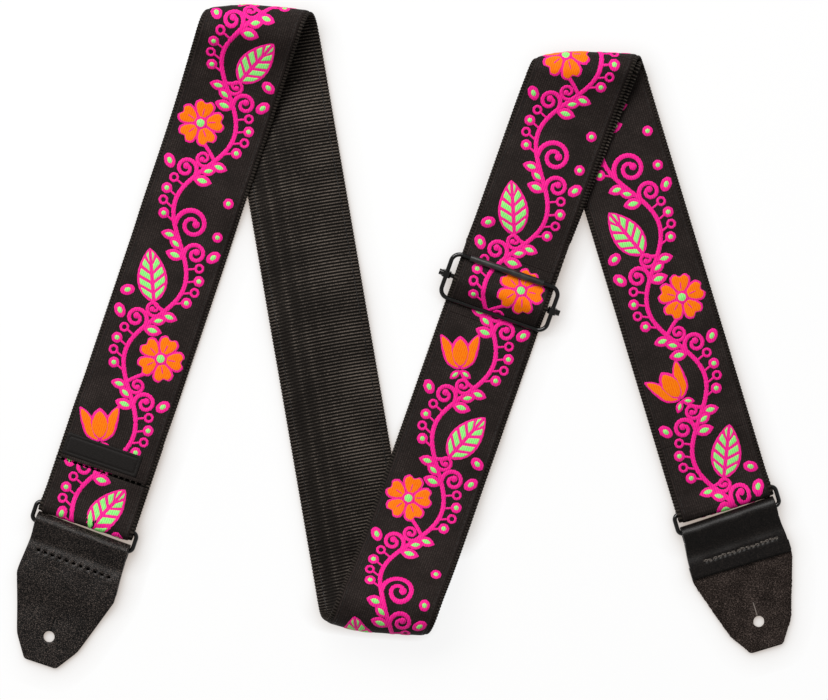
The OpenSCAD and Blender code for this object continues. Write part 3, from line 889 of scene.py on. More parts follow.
def make_webbing(run):
    """One run of the webbing: a flat band whose back and borders are sunk between the ribs."""
    w = settings("webbing")
    half, back, front, pitch = (value / MM for value in (w.width / 2, w.back, w.front, w.rib_pitch))
    seam, bevel, groove = half - 3.5, 0.4, 0.22
    rows = [-half + bevel, -seam - 0.6, -seam, -seam + 0.6, -14.0, -7.0, 0.0, 7.0, 14.0, seam - 0.6, seam,
            seam + 0.6, half - bevel]
    # Across and off mid thickness, how much of a rib's depth shows there, and the way out.
    outline = [(x, -back + (groove if abs(abs(x) - seam) < 0.01 else 0.0), 1.0, (0, 0, -1)) for x in rows]
    outline += [(half, -back + 0.45, 1.0, (1, 0, 0)), (half, front - 0.35, 1.0, (1, 0, 0))]
    outline += [(x, front, 1.0 if abs(x) > half - 1 else 0.0, (0, 0, 1)) for x in
                (half - bevel, half - 1.8, 0.0, -half + 1.8, -half + bevel)]
    outline += [(-half, front - 0.35, 1.0, (-1, 0, 0)), (-half, -back + 0.45, 1.0, (-1, 0, 0))]
    start, end = course.run_spans[run]
    count = math.ceil((end - start) / (pitch / 6)) + 1
    flat = swept([(x, z) for x, z, _, _ in outline], np.linspace(start, end, count))
    out = np.tile(np.array([o for _, _, _, o in outline], float), (count, 1))
    away = (course.at(flat + 0.1 * out) - course.at(flat)) / 0.1 / MM
    sunk = flat.copy()
    sunk[:, 2] -= dented(flat[:, 1]) * np.sign(flat[:, 2])
    faces = strip_faces(count, len(outline))
    piece = mesh_object("webbing." + run, course.at(sunk), faces, flat, ["webbing"])
    share = flat[:, 0] / half
    phase = (flat[:, 1] + w.rib_bow / MM * share**2 + w.rib_slant * flat[:, 0]) / pitch
    # How much of the borders' darker colours, painted shade, each point takes: all on the face and the upper
    # side walls, a quarter on the back outside the seams, none on the rest of the back.
    painted_shades = [0.25 if abs(x) > seam and z < 0 else float(z > -back + 0.3) for x, z, _, _ in outline]
    store(piece.data, "rib_phase", "FLOAT", phase)
    store(piece.data, "rib_share", "FLOAT", np.tile([s for _, _, s, _ in outline], count))
    store(piece.data, "outwards", "FLOAT_VECTOR", away)
    store(piece.data, "painted_shade", "FLOAT", np.tile(painted_shades, count))
    piece = with_nodes(piece, ribs_tree(), {"Depth": w.rib_depth, "Webbing": material("webbing")})
    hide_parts("webbing_" + run)
    return settle(piece, run)


def make_ribbon(run):
    """One run of the woven ribbon, with soft edges and a slight sink along its top stitching."""
    r = settings("ribbon")
    half, top, base = r.width / 2 / MM, r.top / MM, settings("webbing").front / MM - 0.25
    seam = half - r.seam_in / MM
    rows = [half, seam + 0.5, seam, seam - 0.5, 14.0, 7.0, 0.0, -7.0, -14.0, 0.5 - seam, -seam, -0.5 - seam,
            -half]
    sink = {half: 0.22, seam: 0.14}
    outline = [(x, top - sink.get(abs(x), 0.0)) for x in rows] + [(-half, base), (0.0, base), (half, base)]
    start, end = course.run_spans[run]
    count = math.ceil((end - start) / 0.7) + 1
    flat = swept(outline, np.linspace(start, end, count))
    flat[:, 2] -= dented(flat[:, 1])
    piece = mesh_object("ribbon." + run, course.at(flat), strip_faces(count, len(outline)), flat)
    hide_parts("ribbon_" + run)
    return settle(piece, run)


# ---------------------------------------------------------------------------------------------
# The woven figures, drawn flat in millimetres: x across, y along


class Tile:
    """Collects the raised strokes and patches of one repeat, bottom layers first."""

    pink, orange, green = 0, 1, 2

    def __init__(self, steps=0.7):
        self.points, self.faces, self.middle, self.colour = [], [], [], []
        self.steps = steps
        self.count = 0

    def close(self, first, middle, colour):
        added = len(self.points) - first
        self.middle += [middle] * added
        self.colour += [colour] * added

    def stroke(self, line, width, colour=0, tip=None, height=0.2, base=0.0, middle=None):
        """A raised band along a line, whose width may run to another at its tip."""
        line = even_steps(line, self.steps)
        first, count = len(self.points), len(line)
        way = np.gradient(line, axis=0)
        way /= np.linalg.norm(way, axis=1)[:, None] + 1e-9
        side = np.stack([-way[:, 1], way[:, 0]], axis=1)
        t = np.linspace(0, 1, count)
        full = width + (0 if tip is None else tip - width) * t
        gone = np.minimum(t, 1 - t) * count * self.steps / (0.5 * full + 1e-9)
        full = full * np.sqrt(np.clip(gone * (2 - np.minimum(gone, 1)), 0.2, 1))
        jag = 1 + 0.13 * np.sin(np.arange(count) * 2.6 + 1.7 * self.count)
        self.count += 1
        for p, n, h in zip(line, side, full / 2 * jag):
            for across, z in ((-1, base - 0.1), (-0.75, base + 0.75 * height), (0.0, base + height),
                              (0.75, base + 0.75 * height), (1, base - 0.1)):
                self.points.append((*(p + n * h * across), z))
        for i in range(count - 1):
            a = first + 5 * i
            self.faces += [(a + k, a + 5 + k, a + 6 + k, a + 1 + k) for k in range(4)]
            self.faces.append((a + 4, a + 9, a + 5, a))
        last = first + 5 * (count - 1)
        self.faces.append(tuple(first + k for k in range(5)))
        self.faces.append(tuple(last + k for k in range(4, -1, -1)))
        self.close(first, float(line[:, 1].mean()) if middle is None else middle, colour)

    def patch(self, outline, colour, height=0.2, base=0.0, middle=None):
        """A filled figure, slightly domed about its middle, with rings close enough to follow a fold."""
        outline = np.asarray(outline)
        ahead = np.roll(outline, -1, axis=0)
        if (outline[:, 0] * ahead[:, 1] - outline[:, 1] * ahead[:, 0]).sum() < 0:
            outline = outline[::-1]
        first, count = len(self.points), len(outline)
        centre = outline.mean(axis=0)
        reach = np.linalg.norm(outline - centre, axis=1)
        jag = 0.1 * np.sin(np.arange(count) * 2.6 + self.count)
        self.count += 1
        rim = outline + (outline - centre) / reach[:, None] * jag[:, None]
        rings = max(1, round(0.88 * reach.max() / 1.4))
        self.points.append((*centre, base + height))
        for share in np.arange(1, rings + 1) / rings * 0.88:
            level = base + height * (1 - 0.19 * share**2)
            self.points += [(*(centre + (p - centre) * share), level) for p in rim]
        self.points += [(*p, base - 0.1) for p in rim]
        self.points.append((*centre, base - 0.1))
        last = first + 1 + rings * count
        for k in range(count):
            n = (k + 1) % count
            self.faces += [(first, first + 1 + k, first + 1 + n), (last + count, last + n, last + k)]
            for a in range(first + 1, last, count):
                self.faces.append((a + k, a + count + k, a + count + n, a + n))
        self.close(first, float(centre[1]) if middle is None else middle, colour)


def even_steps(line, step):
    line = np.asarray(line, float)
    long = np.concatenate([[0], np.cumsum(np.linalg.norm(np.diff(line, axis=0), axis=1))])
    places = np.linspace(0, long[-1], max(3, int(long[-1] / step) + 1))
    return np.stack([np.interp(places, long, line[:, k]) for k in (0, 1)], axis=1)


def rounded(points, closed=False, parts=8):
    """A smooth line through points."""
    p = np.asarray(points, float)
    ends = (p[-1:], p[:2]) if closed else (2 * p[:1] - p[1:2], 2 * p[-1:] - p[-2:-1])
    p = np.concatenate([ends[0], p, ends[1]])
    t = np.arange(parts)[:, None] / parts
    found = [0.5 * (2 * b + (c - a) * t + (2 * a - 5 * b + 4 * c - d) * t**2 + (3 * b - a - 3 * c + d) * t**3)
             for a, b, c, d in zip(p, p[1:], p[2:], p[3:])]
    return np.concatenate(found if closed else found + [p[-2:-1]])


def placed(points, angle, centre):
    c, s = math.cos(angle), math.sin(angle)
    p = np.asarray(points)
    return np.stack([c * p[:, 0] - s * p[:, 1], s * p[:, 0] + c * p[:, 1]], axis=1) + np.asarray(centre)


def ellipse(long, wide, centre=(0, 0), angle=0.0, count=16):
    t = np.arange(count) / count * 2 * math.pi
    return placed(np.stack([long * np.cos(t), wide * np.sin(t)], axis=1), angle, centre)


def coil(start, heading, radius, turns, hand):
    """A line that leaves a point in a heading and winds in on itself, to the left if hand is 1."""
    t = np.linspace(0, turns * 2 * math.pi, 60)
    r = radius * (1 - 0.78 * (t / t[-1]) ** 0.85)
    centre = np.array(start) + radius * hand * np.array([-math.sin(heading), math.cos(heading)])
    angle = heading - hand * math.pi / 2 + hand * t
    return centre + np.stack([r * np.cos(angle), r * np.sin(angle)], axis=1)


def tendril(tile, start, heading, radius, turns, hand, width, middle):
    line = coil(start, heading, radius, turns, hand)
    tile.stroke(line, width, tip=width * 0.8, middle=middle)
    tile.patch(ellipse(width * 0.72, width * 0.72, line[-1], 0, 12), tile.pink, middle=middle)


def berry(tile, centre, radius, long=1.0, angle=0.0, middle=None):
    middle = centre[1] if middle is None else middle
    tile.patch(ellipse(radius * long, radius, centre, angle), tile.pink, 0.22, middle=middle)
    tile.patch(ellipse(radius * long * 0.44, radius * 0.42, centre, angle, 12), tile.green, 0.1, base=0.22,
               middle=middle)


def leaf(tile, root, angle, long, wide, middle=None):
    """A pointed leaf with a green heart."""
    t = np.linspace(0, math.pi, 12)
    half = np.stack([long * t / math.pi, wide * np.sin(t) ** 0.8], axis=1)
    whole = np.concatenate([half, half[-2:0:-1] * [1, -1]])
    outline = placed(whole, angle, root)
    middle = float(outline[:, 1].mean()) if middle is None else middle
    tile.patch(outline, tile.pink, 0.2, middle=middle)
    heart = placed(whole * [0.54, 0.42] + [long * 0.22, 0], angle, root)
    tile.patch(heart, tile.green, 0.1, base=0.2, middle=middle)


def fern(tile, root, angle, long, wide, middle):
    """A broad leaf whose green blade is divided by a midrib and slanting veins."""
    def half_width(t):
        return wide * np.sin(math.pi * np.clip(t, 0, 1) ** 0.8) ** 0.75

    t = np.linspace(0, 1, 22)
    half = np.stack([long * t, half_width(t)], axis=1)
    whole = np.concatenate([half, half[-2:0:-1] * [1, -1]])
    tile.patch(placed(whole, angle, root), tile.pink, 0.2, middle=middle)
    for side in (1, -1):
        for k in range(5):
            low, high = 0.07 + 0.165 * k, 0.07 + 0.165 * (k + 1) - 0.055
            inner = [(low, 0.8), (high, 0.8)]
            outer = []
            for share in (high, (low + high) / 2, low):
                t_out = min(share + 0.13, 0.9)
                outer.append((t_out, float(half_width(t_out)) - 1.5))
            if outer[0][0] == outer[1][0]:
                outer[0] = (0.93, 0.8)
            cell = np.array(inner + outer + inner[:1]) * [long, side]
            tile.patch(placed(even_steps(cell, 0.8)[:-1], angle, root), tile.green, 0.09, base=0.2,
                       middle=middle)


def blossom(tile, centre, radius, angle, petals=5):
    """A flower of broad notched orange petals with pink edges about a ringed green eye."""
    centre = np.array(centre)
    shape = np.array([(0.16, 0.0), (0.42, 0.3), (0.8, 0.42), (1.0, 0.22), (0.9, 0.0), (1.0, -0.22),
                      (0.8, -0.42), (0.42, -0.3)])
    whole = rounded(shape, closed=True, parts=4)
    middle_point = whole.mean(axis=0)
    ways = [angle + k * 2 * math.pi / petals for k in range(petals)]
    for edge, colour, height, base in ((0.0, tile.pink, 0.2, 0.0), (0.9, tile.orange, 0.1, 0.2)):
        body = middle_point * radius + (whole - middle_point) * (radius * 1.16 - edge * 2.9)
        for way in ways:
            tile.patch(placed(body, way, centre), colour, height, base=base, middle=centre[1])
    vein = np.array([(0.34, 0.0), (0.66, 0.0)]) * radius
    for way in ways:
        tile.stroke(placed(vein, way, centre), 0.75, base=0.26, height=0.1, middle=centre[1])
    rings = ((0.3, 20, tile.pink, 0.1, 0.3), (0.19, 14, tile.green, 0.06, 0.4))
    for share, count, colour, height, base in rings:
        eye = ellipse(share * radius, share * radius, centre, 0, count)
        tile.patch(eye, colour, height, base=base, middle=centre[1])


def tulip(tile, root, angle, size, middle):
    """A cup of three orange petals with pink edges, on its calyx."""
    side_petal = np.array([(0.0, 0.05), (0.18, 0.4), (0.55, 0.56), (1.0, 0.62), (1.12, 0.56), (0.9, 0.3),
                           (0.55, 0.1), (0.2, 0.0)])
    heart = np.array([(0.05, 0.0), (0.3, 0.27), (0.7, 0.3), (1.05, 0.0), (0.7, -0.3), (0.3, -0.27)])
    for shape, mirror in ((side_petal, 1), (side_petal, -1), (heart, 1)):
        whole = rounded(shape * [1, mirror], closed=True, parts=4) * size
        centre = whole.mean(axis=0)
        base = 0.0 if shape is side_petal else 0.12
        tile.patch(placed(whole, angle, root), tile.pink, 0.2, base=base, middle=middle)
        out = whole - centre
        inner = centre + out * (1 - 1.25 / np.maximum(np.linalg.norm(out, axis=1), 1.9))[:, None]
        tile.patch(placed(inner, angle, root), tile.orange, 0.1, base=base + 0.2, middle=middle)
    for way in (0.9, -0.9):
        leaf(tile, root, angle + math.pi + way, size * 0.42, size * 0.12, middle)


VINE_WAVE = 80.0
VINE_SWING = 9.0


def vine(y):
    return VINE_SWING * math.sin(2 * math.pi * y / VINE_WAVE)


def vine_way(y):
    slope = VINE_SWING * 2 * math.pi / VINE_WAVE * math.cos(2 * math.pi * y / VINE_WAVE)
    return math.atan2(1.0, slope)


def figure_tile():
    """Three waves of a running vine. Each of its six bends holds one large figure."""
    tile = Tile()
    for k in range(18):
        a, b = k * VINE_WAVE / 6, (k + 1) * VINE_WAVE / 6
        tile.stroke([(vine(y), y) for y in np.linspace(a - 0.5, b + 0.5, 24)], 2.5, middle=(a + b) / 2)
    for bend in range(6):
        side = 1 if bend % 2 == 0 else -1
        y = (bend + 0.5) * VINE_WAVE / 2
        root = (vine(y - 15), y - 15)
        if bend in (0, 3):
            heart = (-side * 9.3, y + 1.5)
            stem = rounded([root, (root[0] - side * 3.5, y - 11.5), (heart[0] + side * 3.0, y - 6.5)])
            tile.stroke(stem, 2.1, middle=y)
            blossom(tile, heart, 11.5, 0.35 * side + bend)
        elif bend in (1, 4):
            start = (-side * 2.8, y - 13.0)
            tile.stroke(rounded([root, (root[0] - side * 2.5, y - 14.5), start]), 2.1, middle=y)
            fern(tile, start, math.pi / 2 + side * 0.4, 29.0, 8.0, y)
            berry(tile, (-side * 17.8, y - 10.5), 2.9, 1.35, 0.5 * side, y)
        elif bend == 2:
            start = (-side * 6.0, y - 8.5)
            tile.stroke(rounded([root, (root[0] - side * 4.5, y - 13.0), start]), 2.1, middle=y)
            tulip(tile, start, math.pi / 2 + side * 0.34, 16.6, y)
        else:
            tendril(tile, (vine(y - 12), y - 12), vine_way(y - 12) + side * 0.15, 8.8, 1.5, side, 2.8, y)
            for step in (0, 2):
                berry(tile, (-side * 17.0, y - 11.0 + 9.0 * step), 2.8, middle=y)
        # Berries hang on the bend's outer side, and leaves and tendrils curl at each crossing.
        for step in range(4):
            yy = y - 10.0 + 6.2 * step
            tile.stroke([(vine(yy) + side * 0.5, yy), (vine(yy) + side * 4.4, yy + 1.7)], 1.2, middle=yy)
            heart = (vine(yy) + side * 6.3, yy + 2.4)
            if step % 2:
                ring = ellipse(1.9, 1.9, heart, 0.0, 14)
                tile.stroke(np.concatenate([ring, ring[:2]]), 1.5, middle=yy)
            else:
                berry(tile, heart, 2.9, middle=yy)
        yy = y + 14.5
        tendril(tile, (vine(yy), yy), vine_way(yy) - side * 0.1, 6.0, 1.35, -side, 2.5, yy + 3)
        leaf(tile, (vine(yy - 1), yy - 1), vine_way(yy) + side * 0.95, 10.4, 3.1)
        leaf(tile, (vine(yy + 3), yy + 3), vine_way(yy) + side * 0.55, 8.8, 2.6)
        yy = y - 17.0
        leaf(tile, (vine(yy), yy), vine_way(yy) - side * 1.0, 9.2, 2.8)
        if bend != 5:
            tendril(tile, (vine(yy), yy), vine_way(yy) + math.pi + side * 0.2, 4.6, 1.3, -side, 2.1, yy - 2)
        berry(tile, (side * 18.2, y + 18.5), 2.9, 1.4, 0.9 * side)
    return tile, 3 * VINE_WAVE


def stitch_tile():
    """One stitch on both top seams, and the same seam's stitch on the back."""
    r = settings("ribbon")
    tile = Tile(0.4)
    for x in (-1, 1):
        place = x * (r.width / 2 - r.seam_in) / MM
        for base in (-0.12, -2.02):
            tile.stroke([(place, 0.2), (place, 2.4)], 0.5, height=0.14, base=base, middle=1.3)
    return tile, r.stitch / MM


def seam_tile():
    """A row of stitches across the strap."""
    half = settings("ribbon").width / 2 / MM - 0.8
    tile = Tile(0.4)
    for x in np.arange(-half, half - 2, 3.1):
        tile.stroke([(x, 0.0), (x + 2.2, 0.0)], 1.4, height=0.45, base=0.0, middle=0.0)
    return tile, 1.0


def label_tile(*ends):
    """A stitch at each short end of the label."""
    tile = Tile(0.4)
    for x in ends:
        tile.stroke([(x, 0.15), (x, 1.7)], 0.5, height=0.14, base=0.36, middle=0.9)
    return tile, 2.2


def tile_object(tile):
    mesh = bpy.data.meshes.new("tile")
    mesh.from_pydata([tuple(np.array(p) * MM) for p in tile.points], [], tile.faces)
    store(mesh, "middle", "FLOAT", np.array(tile.middle) * MM)
    store(mesh, "colour", "FLOAT", tile.colour)
    return new_object("tile", mesh)


def cloth(name, run, margin=16.0):
    """The ribbon's face as an open sheet that reaches past both ends of the run."""
    start, end = course.run_spans[run]
    first, last = max(0.0, start - margin), min(course.length, end + margin)
    rows = math.ceil((last - first) / 0.5) + 1
    columns = np.linspace(-25.0, 25.0, 11)
    size = len(columns)
    flat = swept([(x, settings("ribbon").top / MM) for x in columns], np.linspace(first, last, rows))
    flat[:, 2] -= dented(flat[:, 1])
    faces = [(i * size + k, i * size + k + 1, (i + 1) * size + k + 1, (i + 1) * size + k)
             for i in range(rows - 1) for k in range(size - 1)]
    mesh = bpy.data.meshes.new("cloth")
    mesh.from_pydata([tuple(p) for p in course.at(flat)], [], faces)
    share_along = (flat[:, 1] - first) / (last - first)
    map_points(mesh, "cloth_uv", np.stack([share_across(flat), share_along], axis=1))
    store(mesh, "cloth_normal", "FLOAT_VECTOR", course.normal(flat))
    return new_object(name, mesh), first, last


def lay_tile(name, source, pitch, run, slots, start=0.0, count=None, span=None):
    """Lays a tile along a run, or along a span of it, and returns the finished piece."""
    piece, first, last = cloth(name, run)
    low, high = span or course.run_spans[run]
    if count is None:
        start += (math.floor((low - start) / pitch) - 1) * pitch
        count = math.ceil((high - start) / pitch) + 2
    with_nodes(piece, laid_tree(), {
        "Tile": source, "Start": start * MM, "Count": count, "Pitch": pitch * MM, "From": low * MM,
        "To": high * MM, "Width": settings("webbing").width, "Cloth from": first * MM,
        "Cloth length": (last - first) * MM, "Strap length": course.length * MM,
        "First": material(slots[0]), "Second": material(slots[-2]), "Third": material(slots[-1])})
    for spare in [a for a in piece.data.attributes if a.name in ("middle", "colour", "own_y")]:
        piece.data.attributes.remove(spare)
    return piece


def lay_pieces(pieces, tile, pitch, slot_name, slots, **span):
    """Lays a tile on runs, given as names of pieces and their runs, and settles what it makes."""
    source = tile_object(tile)
    for name, run in pieces.items():
        settle(lay_tile(name, source, pitch, run, slots, **span), run)
    bpy.data.objects.remove(source)


# ---------------------------------------------------------------------------------------------
# Placing by the photograph


def camera_lens():
    """The camera, its shift and its focal length in the photograph's pixels."""
    camera = bpy.context.scene.camera
    data = camera.data
    long = max(PHOTO_W, PHOTO_H)
    return camera, data.shift_x * long, data.shift_y * long, long * data.lens / data.sensor_width


def seen_at(name, carrier):
    """Where the ray through an image point meets the carrier, or the place on it that is nearest."""
    x, y = IMAGE_POINTS[name]
    camera, right, up, reach = camera_lens()
    ray = Vector((x - PHOTO_W / 2 + right, PHOTO_H / 2 - y + up, -reach))
    origin = camera.matrix_world.translation
    way = (camera.matrix_world.to_3x3() @ ray).normalized()
    points = [carrier.matrix_world @ v.co for v in carrier.data.vertices]
    tree = BVHTree.FromPolygons(points, [list(f.vertices) for f in carrier.data.polygons])
    hit = tree.ray_cast(origin, way)[0]
    if hit is None:
        level = sum(p.z for p in points) / len(points)
        hit = tree.find_nearest(origin + way * ((level - origin.z) / way.z))[0]
    return hit


def in_picture(places):
    """Pixels in the photograph's frame of points in metres."""
    camera, right, up, reach = camera_lens()
    local = np.array([camera.matrix_world.inverted() @ Vector(p) for p in places])
    scale = reach / -local[:, 2]
    return np.stack([PHOTO_W / 2 + local[:, 0] * scale - right,
                     PHOTO_H / 2 - local[:, 1] * scale + up], axis=1)


# ---------------------------------------------------------------------------------------------
# Operators


class STRAP_OT_stage(Operator):
    """Adds the camera, the floor, the overhead light and the even light"""

    bl_idname = "strap.stage"
    bl_label = "Stage"

    def execute(self, context):
        s = settings("stage")
        scene = context.scene
        camera = new_object("camera", bpy.data.cameras.new("camera"))
        camera.data.lens = s.lens
        camera.data.sensor_width = 36.0
        camera.data.sensor_fit = "AUTO"
        camera.location = (s.aim[0], s.aim[1], s.camera_height)
        scene.camera = camera
        context.view_layer.update()
        floor = new_object("floor", bpy.data.meshes.new("floor"))
        floor.data.from_pydata([(-3, -3, 0), (3, -3, 0), (3, 3, 0), (-3, 3, 0)], [], [(0, 1, 2, 3)])
        floor.data.materials.append(self.floor_paper(s))
        floor.location.z = -0.0002
        key = new_object("softbox", bpy.data.lights.new("softbox", "AREA"))
        key.data.shape = "RECTANGLE"
        key.data.size, key.data.size_y = s.softbox
        key.data.energy = s.key
        key.data.color = (1.0, 0.985, 0.97)
        key.location = s.softbox_place
        key.rotation_euler = (-key.location).to_track_quat("-Z", "Y").to_euler()
        world = bpy.data.worlds.new("even_light")
        world.use_nodes = True
        background = world.node_tree.nodes["Background"]
        background.inputs["Color"].default_value = (1.0, 0.99, 0.98, 1.0)
        background.inputs["Strength"].default_value = s.sky
        scene.world = world
        scene.view_settings.view_transform = "Standard"
        return {"FINISHED"}

    @staticmethod
    def floor_paper(s):
        """White background paper. The camera sees it partly lit through, so that its shadow is faint. Beside
        the strap its glow is darkened to a warm painted shade where an occlusion test towards the softbox, at
        the top left, meets the strap."""
        paper, tree = new_material("background_paper", 1.0, 0.0)
        shader = tree.nodes["Principled BSDF"]
        shader.inputs["Base Color"].default_value = linear(s.floor)
        rays = add(tree, "ShaderNodeLightPath").outputs
        seen = maths(tree, "MAXIMUM", rays["Is Camera Ray"], rays["Is Glossy Ray"])
        to_light = combined(tree, *Vector(s.softbox_place).normalized())
        opened = add(tree, "ShaderNodeAmbientOcclusion", {"Distance": s.painted_shade_reach, "Normal": to_light},
                     samples=24).outputs["AO"]
        # Painted shade: the glow's colour goes from white to the warm shade colour as the strap blocks the
        # occlusion test.
        tone = mixed(tree, opened, linear(s.painted_shade), linear(s.floor))
        glow = made(tree, "ShaderNodeEmission", {"Color": tone, "Strength": 1.0})
        both = made(tree, "ShaderNodeMixShader", {0: maths(tree, "MULTIPLY", seen, s.paper_glow),
                                                  1: shader.outputs[0], 2: glow})
        tree.links.new(both, tree.nodes["Material Output"].inputs["Surface"])
        return paper


class STRAP_OT_cloth(Operator):
    """Makes every run of the webbing and of the ribbon"""

    bl_idname = "strap.cloth"
    bl_label = "Webbing and ribbon"

    def execute(self, context):
        ends = [seen_at(name, frame["nodes"]["webbing_leg_1"]) for name in
                ("cross seam left end", "cross seam right end")]
        DENTS.append((sum(course.nearest(p)[1] for p in ends) / 2, 1.1, 1.5))
        place = seen_at("buckle in second leg", frame["nodes"]["webbing_leg_2"])
        course.buckle_x, middle = course.nearest(place, face_up=False)
        course.buckles.append((middle, 1.1, 17.0))
        for run, _, _ in RUNS:
            make_webbing(run)
            make_ribbon(run)
        return {"FINISHED"}


class STRAP_OT_figures(Operator):
    """Lays the woven figures on the ribbon"""

    bl_idname = "strap.figures"
    bl_label = "Woven figures"

    def execute(self, context):
        lay_pieces({"figures." + run: run for run, _, _ in RUNS}, *figure_tile(), "ribbon",
                   ("pink", "orange", "green"))
        return {"FINISHED"}


class STRAP_OT_seams(Operator):
    """Sews the top seams along the strap and the cross seam at the left ring"""

    bl_idname = "strap.seams"
    bl_label = "Seams"

    def execute(self, context):
        lay_pieces({"seams." + run: run for run, _, _ in RUNS}, *stitch_tile(), "webbing", ("thread",) * 3)
        place = DENTS[0][0]
        lay_pieces({"cross_seam": "leg_1"}, *seam_tile(), "webbing", ("hole thread",) * 3, start=place,
                   count=1, span=(place - 1, place + 1))
        return {"FINISHED"}


class STRAP_OT_label(Operator):
    """Makes the bare label"""

    bl_idname = "strap.label"
    bl_label = "Label"

    def execute(self, context):
        corners = [v.co for v in frame["nodes"]["label"].data.vertices]
        flat = np.array([course.nearest(c) for c in corners])
        (x0, y0), (x1, y1) = flat.min(axis=0), flat.max(axis=0)
        top = settings("ribbon").top / MM
        steps = [(0.0, 0.02), (0.15, 0.3), (0.5, 0.42), (1.4, 0.44), (1.7, 0.3), (2.0, 0.44), (3.0, 0.46)]
        piece = plate("label_patch", (x0, y0, x1, y1), [(inset, top + height) for inset, height in steps],
                      1.0, "label")
        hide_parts("label")
        settle(piece, "leg_1")
        half, seam = settings("ribbon").width / 2 / MM - 0.3, DENTS[0][0]
        near, far = (seam + 0.75, y0 + 0.15) if y0 > seam else (y1 - 0.15, seam - 0.75)
        hem = plate("hem", (-half, near, half, far), [(0.0, top - 1.0), (0.05, top + 0.38), (0.4, top + 0.5)],
                    0.3, "ground")
        settle(hem, "leg_1")
        middle, half = (x0 + x1) / 2, (x1 - x0) / 2 - 1.6
        tile, pitch = label_tile(middle - half, middle + half)
        lay_pieces({"label_stitches": "leg_1"}, tile, pitch, "label", ("thread",) * 3, start=y0 + 0.3,
                   count=int((y1 - y0) / pitch), span=(y0, y1))
        return {"FINISHED"}


def plate(name, box, steps, corner, slot_name):
    """A low plate on the first leg: steps are how far each ring is set in, and its height."""
    rings = [[(x, y, height) for x, y in rectangle(*box, inset, corner)] for inset, height in steps]
    size = len(rings[0])
    points = [p for ring in rings for p in ring]
    faces = [(i * size + k, i * size + (k + 1) % size, (i + 1) * size + (k + 1) % size, (i + 1) * size + k)
             for i in range(len(rings) - 1) for k in range(size)]
    faces.append(tuple((len(rings) - 1) * size + k for k in range(size)))
    faces.append(tuple(range(size - 1, -1, -1)))
    return mesh_object(name, course.at(points), faces, points, [slot_name])


def rectangle(x0, y0, x1, y1, inset, corner, count=4):
    """Points round a rectangle with round corners."""
    points = []
    for cx, cy, start in ((x1, y1, 0.0), (x0, y1, 90.0), (x0, y0, 180.0), (x1, y0, 270.0)):
        sx, sy = (1 if cx == x1 else -1), (1 if cy == y1 else -1)
        px, py = cx - sx * (inset + corner), cy - sy * (inset + corner)
        for k in range(count + 1):
            angle = math.radians(start + 90 * k / count)
            points.append((px + corner * math.cos(angle), py + corner * math.sin(angle)))
    return points


class STRAP_OT_hardware(Operator):
    """Paints the rings and the slider, and rounds the ends of the movable bar and the sleeve"""

    bl_idname = "strap.hardware"
    bl_label = "Hardware"

    def execute(self, context):
        for name in ("ring_left", "ring_right", "slider_frame"):
            piece = frame["nodes"][name]
            piece.data.materials.clear()
            piece.data.materials.append(material("paint"))
        for name, edge, finish in (("slider_sleeve", 0.35, "sleeve"), ("slider_bar", 0.45, "paint")):
            piece = rounded_copy(name, edge * MM, finish)
            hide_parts(name)
            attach(piece, frame["nodes"][name]["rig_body"])
        return {"FINISHED"}


def welded(node):
    """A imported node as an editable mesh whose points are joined."""
    mesh = bmesh.new()
    mesh.from_mesh(frame["nodes"][node].data)
    bmesh.ops.remove_doubles(mesh, verts=mesh.verts, dist=1e-7)
    return mesh


def object_of(mesh, name):
    """A new object with an editable mesh, which is used up."""
    data = bpy.data.meshes.new(name)
    mesh.to_mesh(data)
    mesh.free()
    return new_object(name, data)


def rounded_copy(node, edge, finish):
    """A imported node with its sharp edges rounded."""
    mesh = welded(node)
    bmesh.ops.dissolve_limit(mesh, angle_limit=0.003, verts=mesh.verts, edges=mesh.edges)
    sharp = [e for e in mesh.edges if len(e.link_faces) == 2 and e.calc_face_angle() > 0.7]
    bmesh.ops.bevel(mesh, geom=sharp, offset=edge, segments=3, profile=0.6, affect="EDGES",
                    clamp_overlap=True)
    bmesh.ops.triangulate(mesh, faces=[f for f in mesh.faces if len(f.verts) > 4])
    piece = object_of(mesh, node + "_rounded")
    piece.data.materials.append(material(finish))
    smooth(piece.data, 38)
    return piece


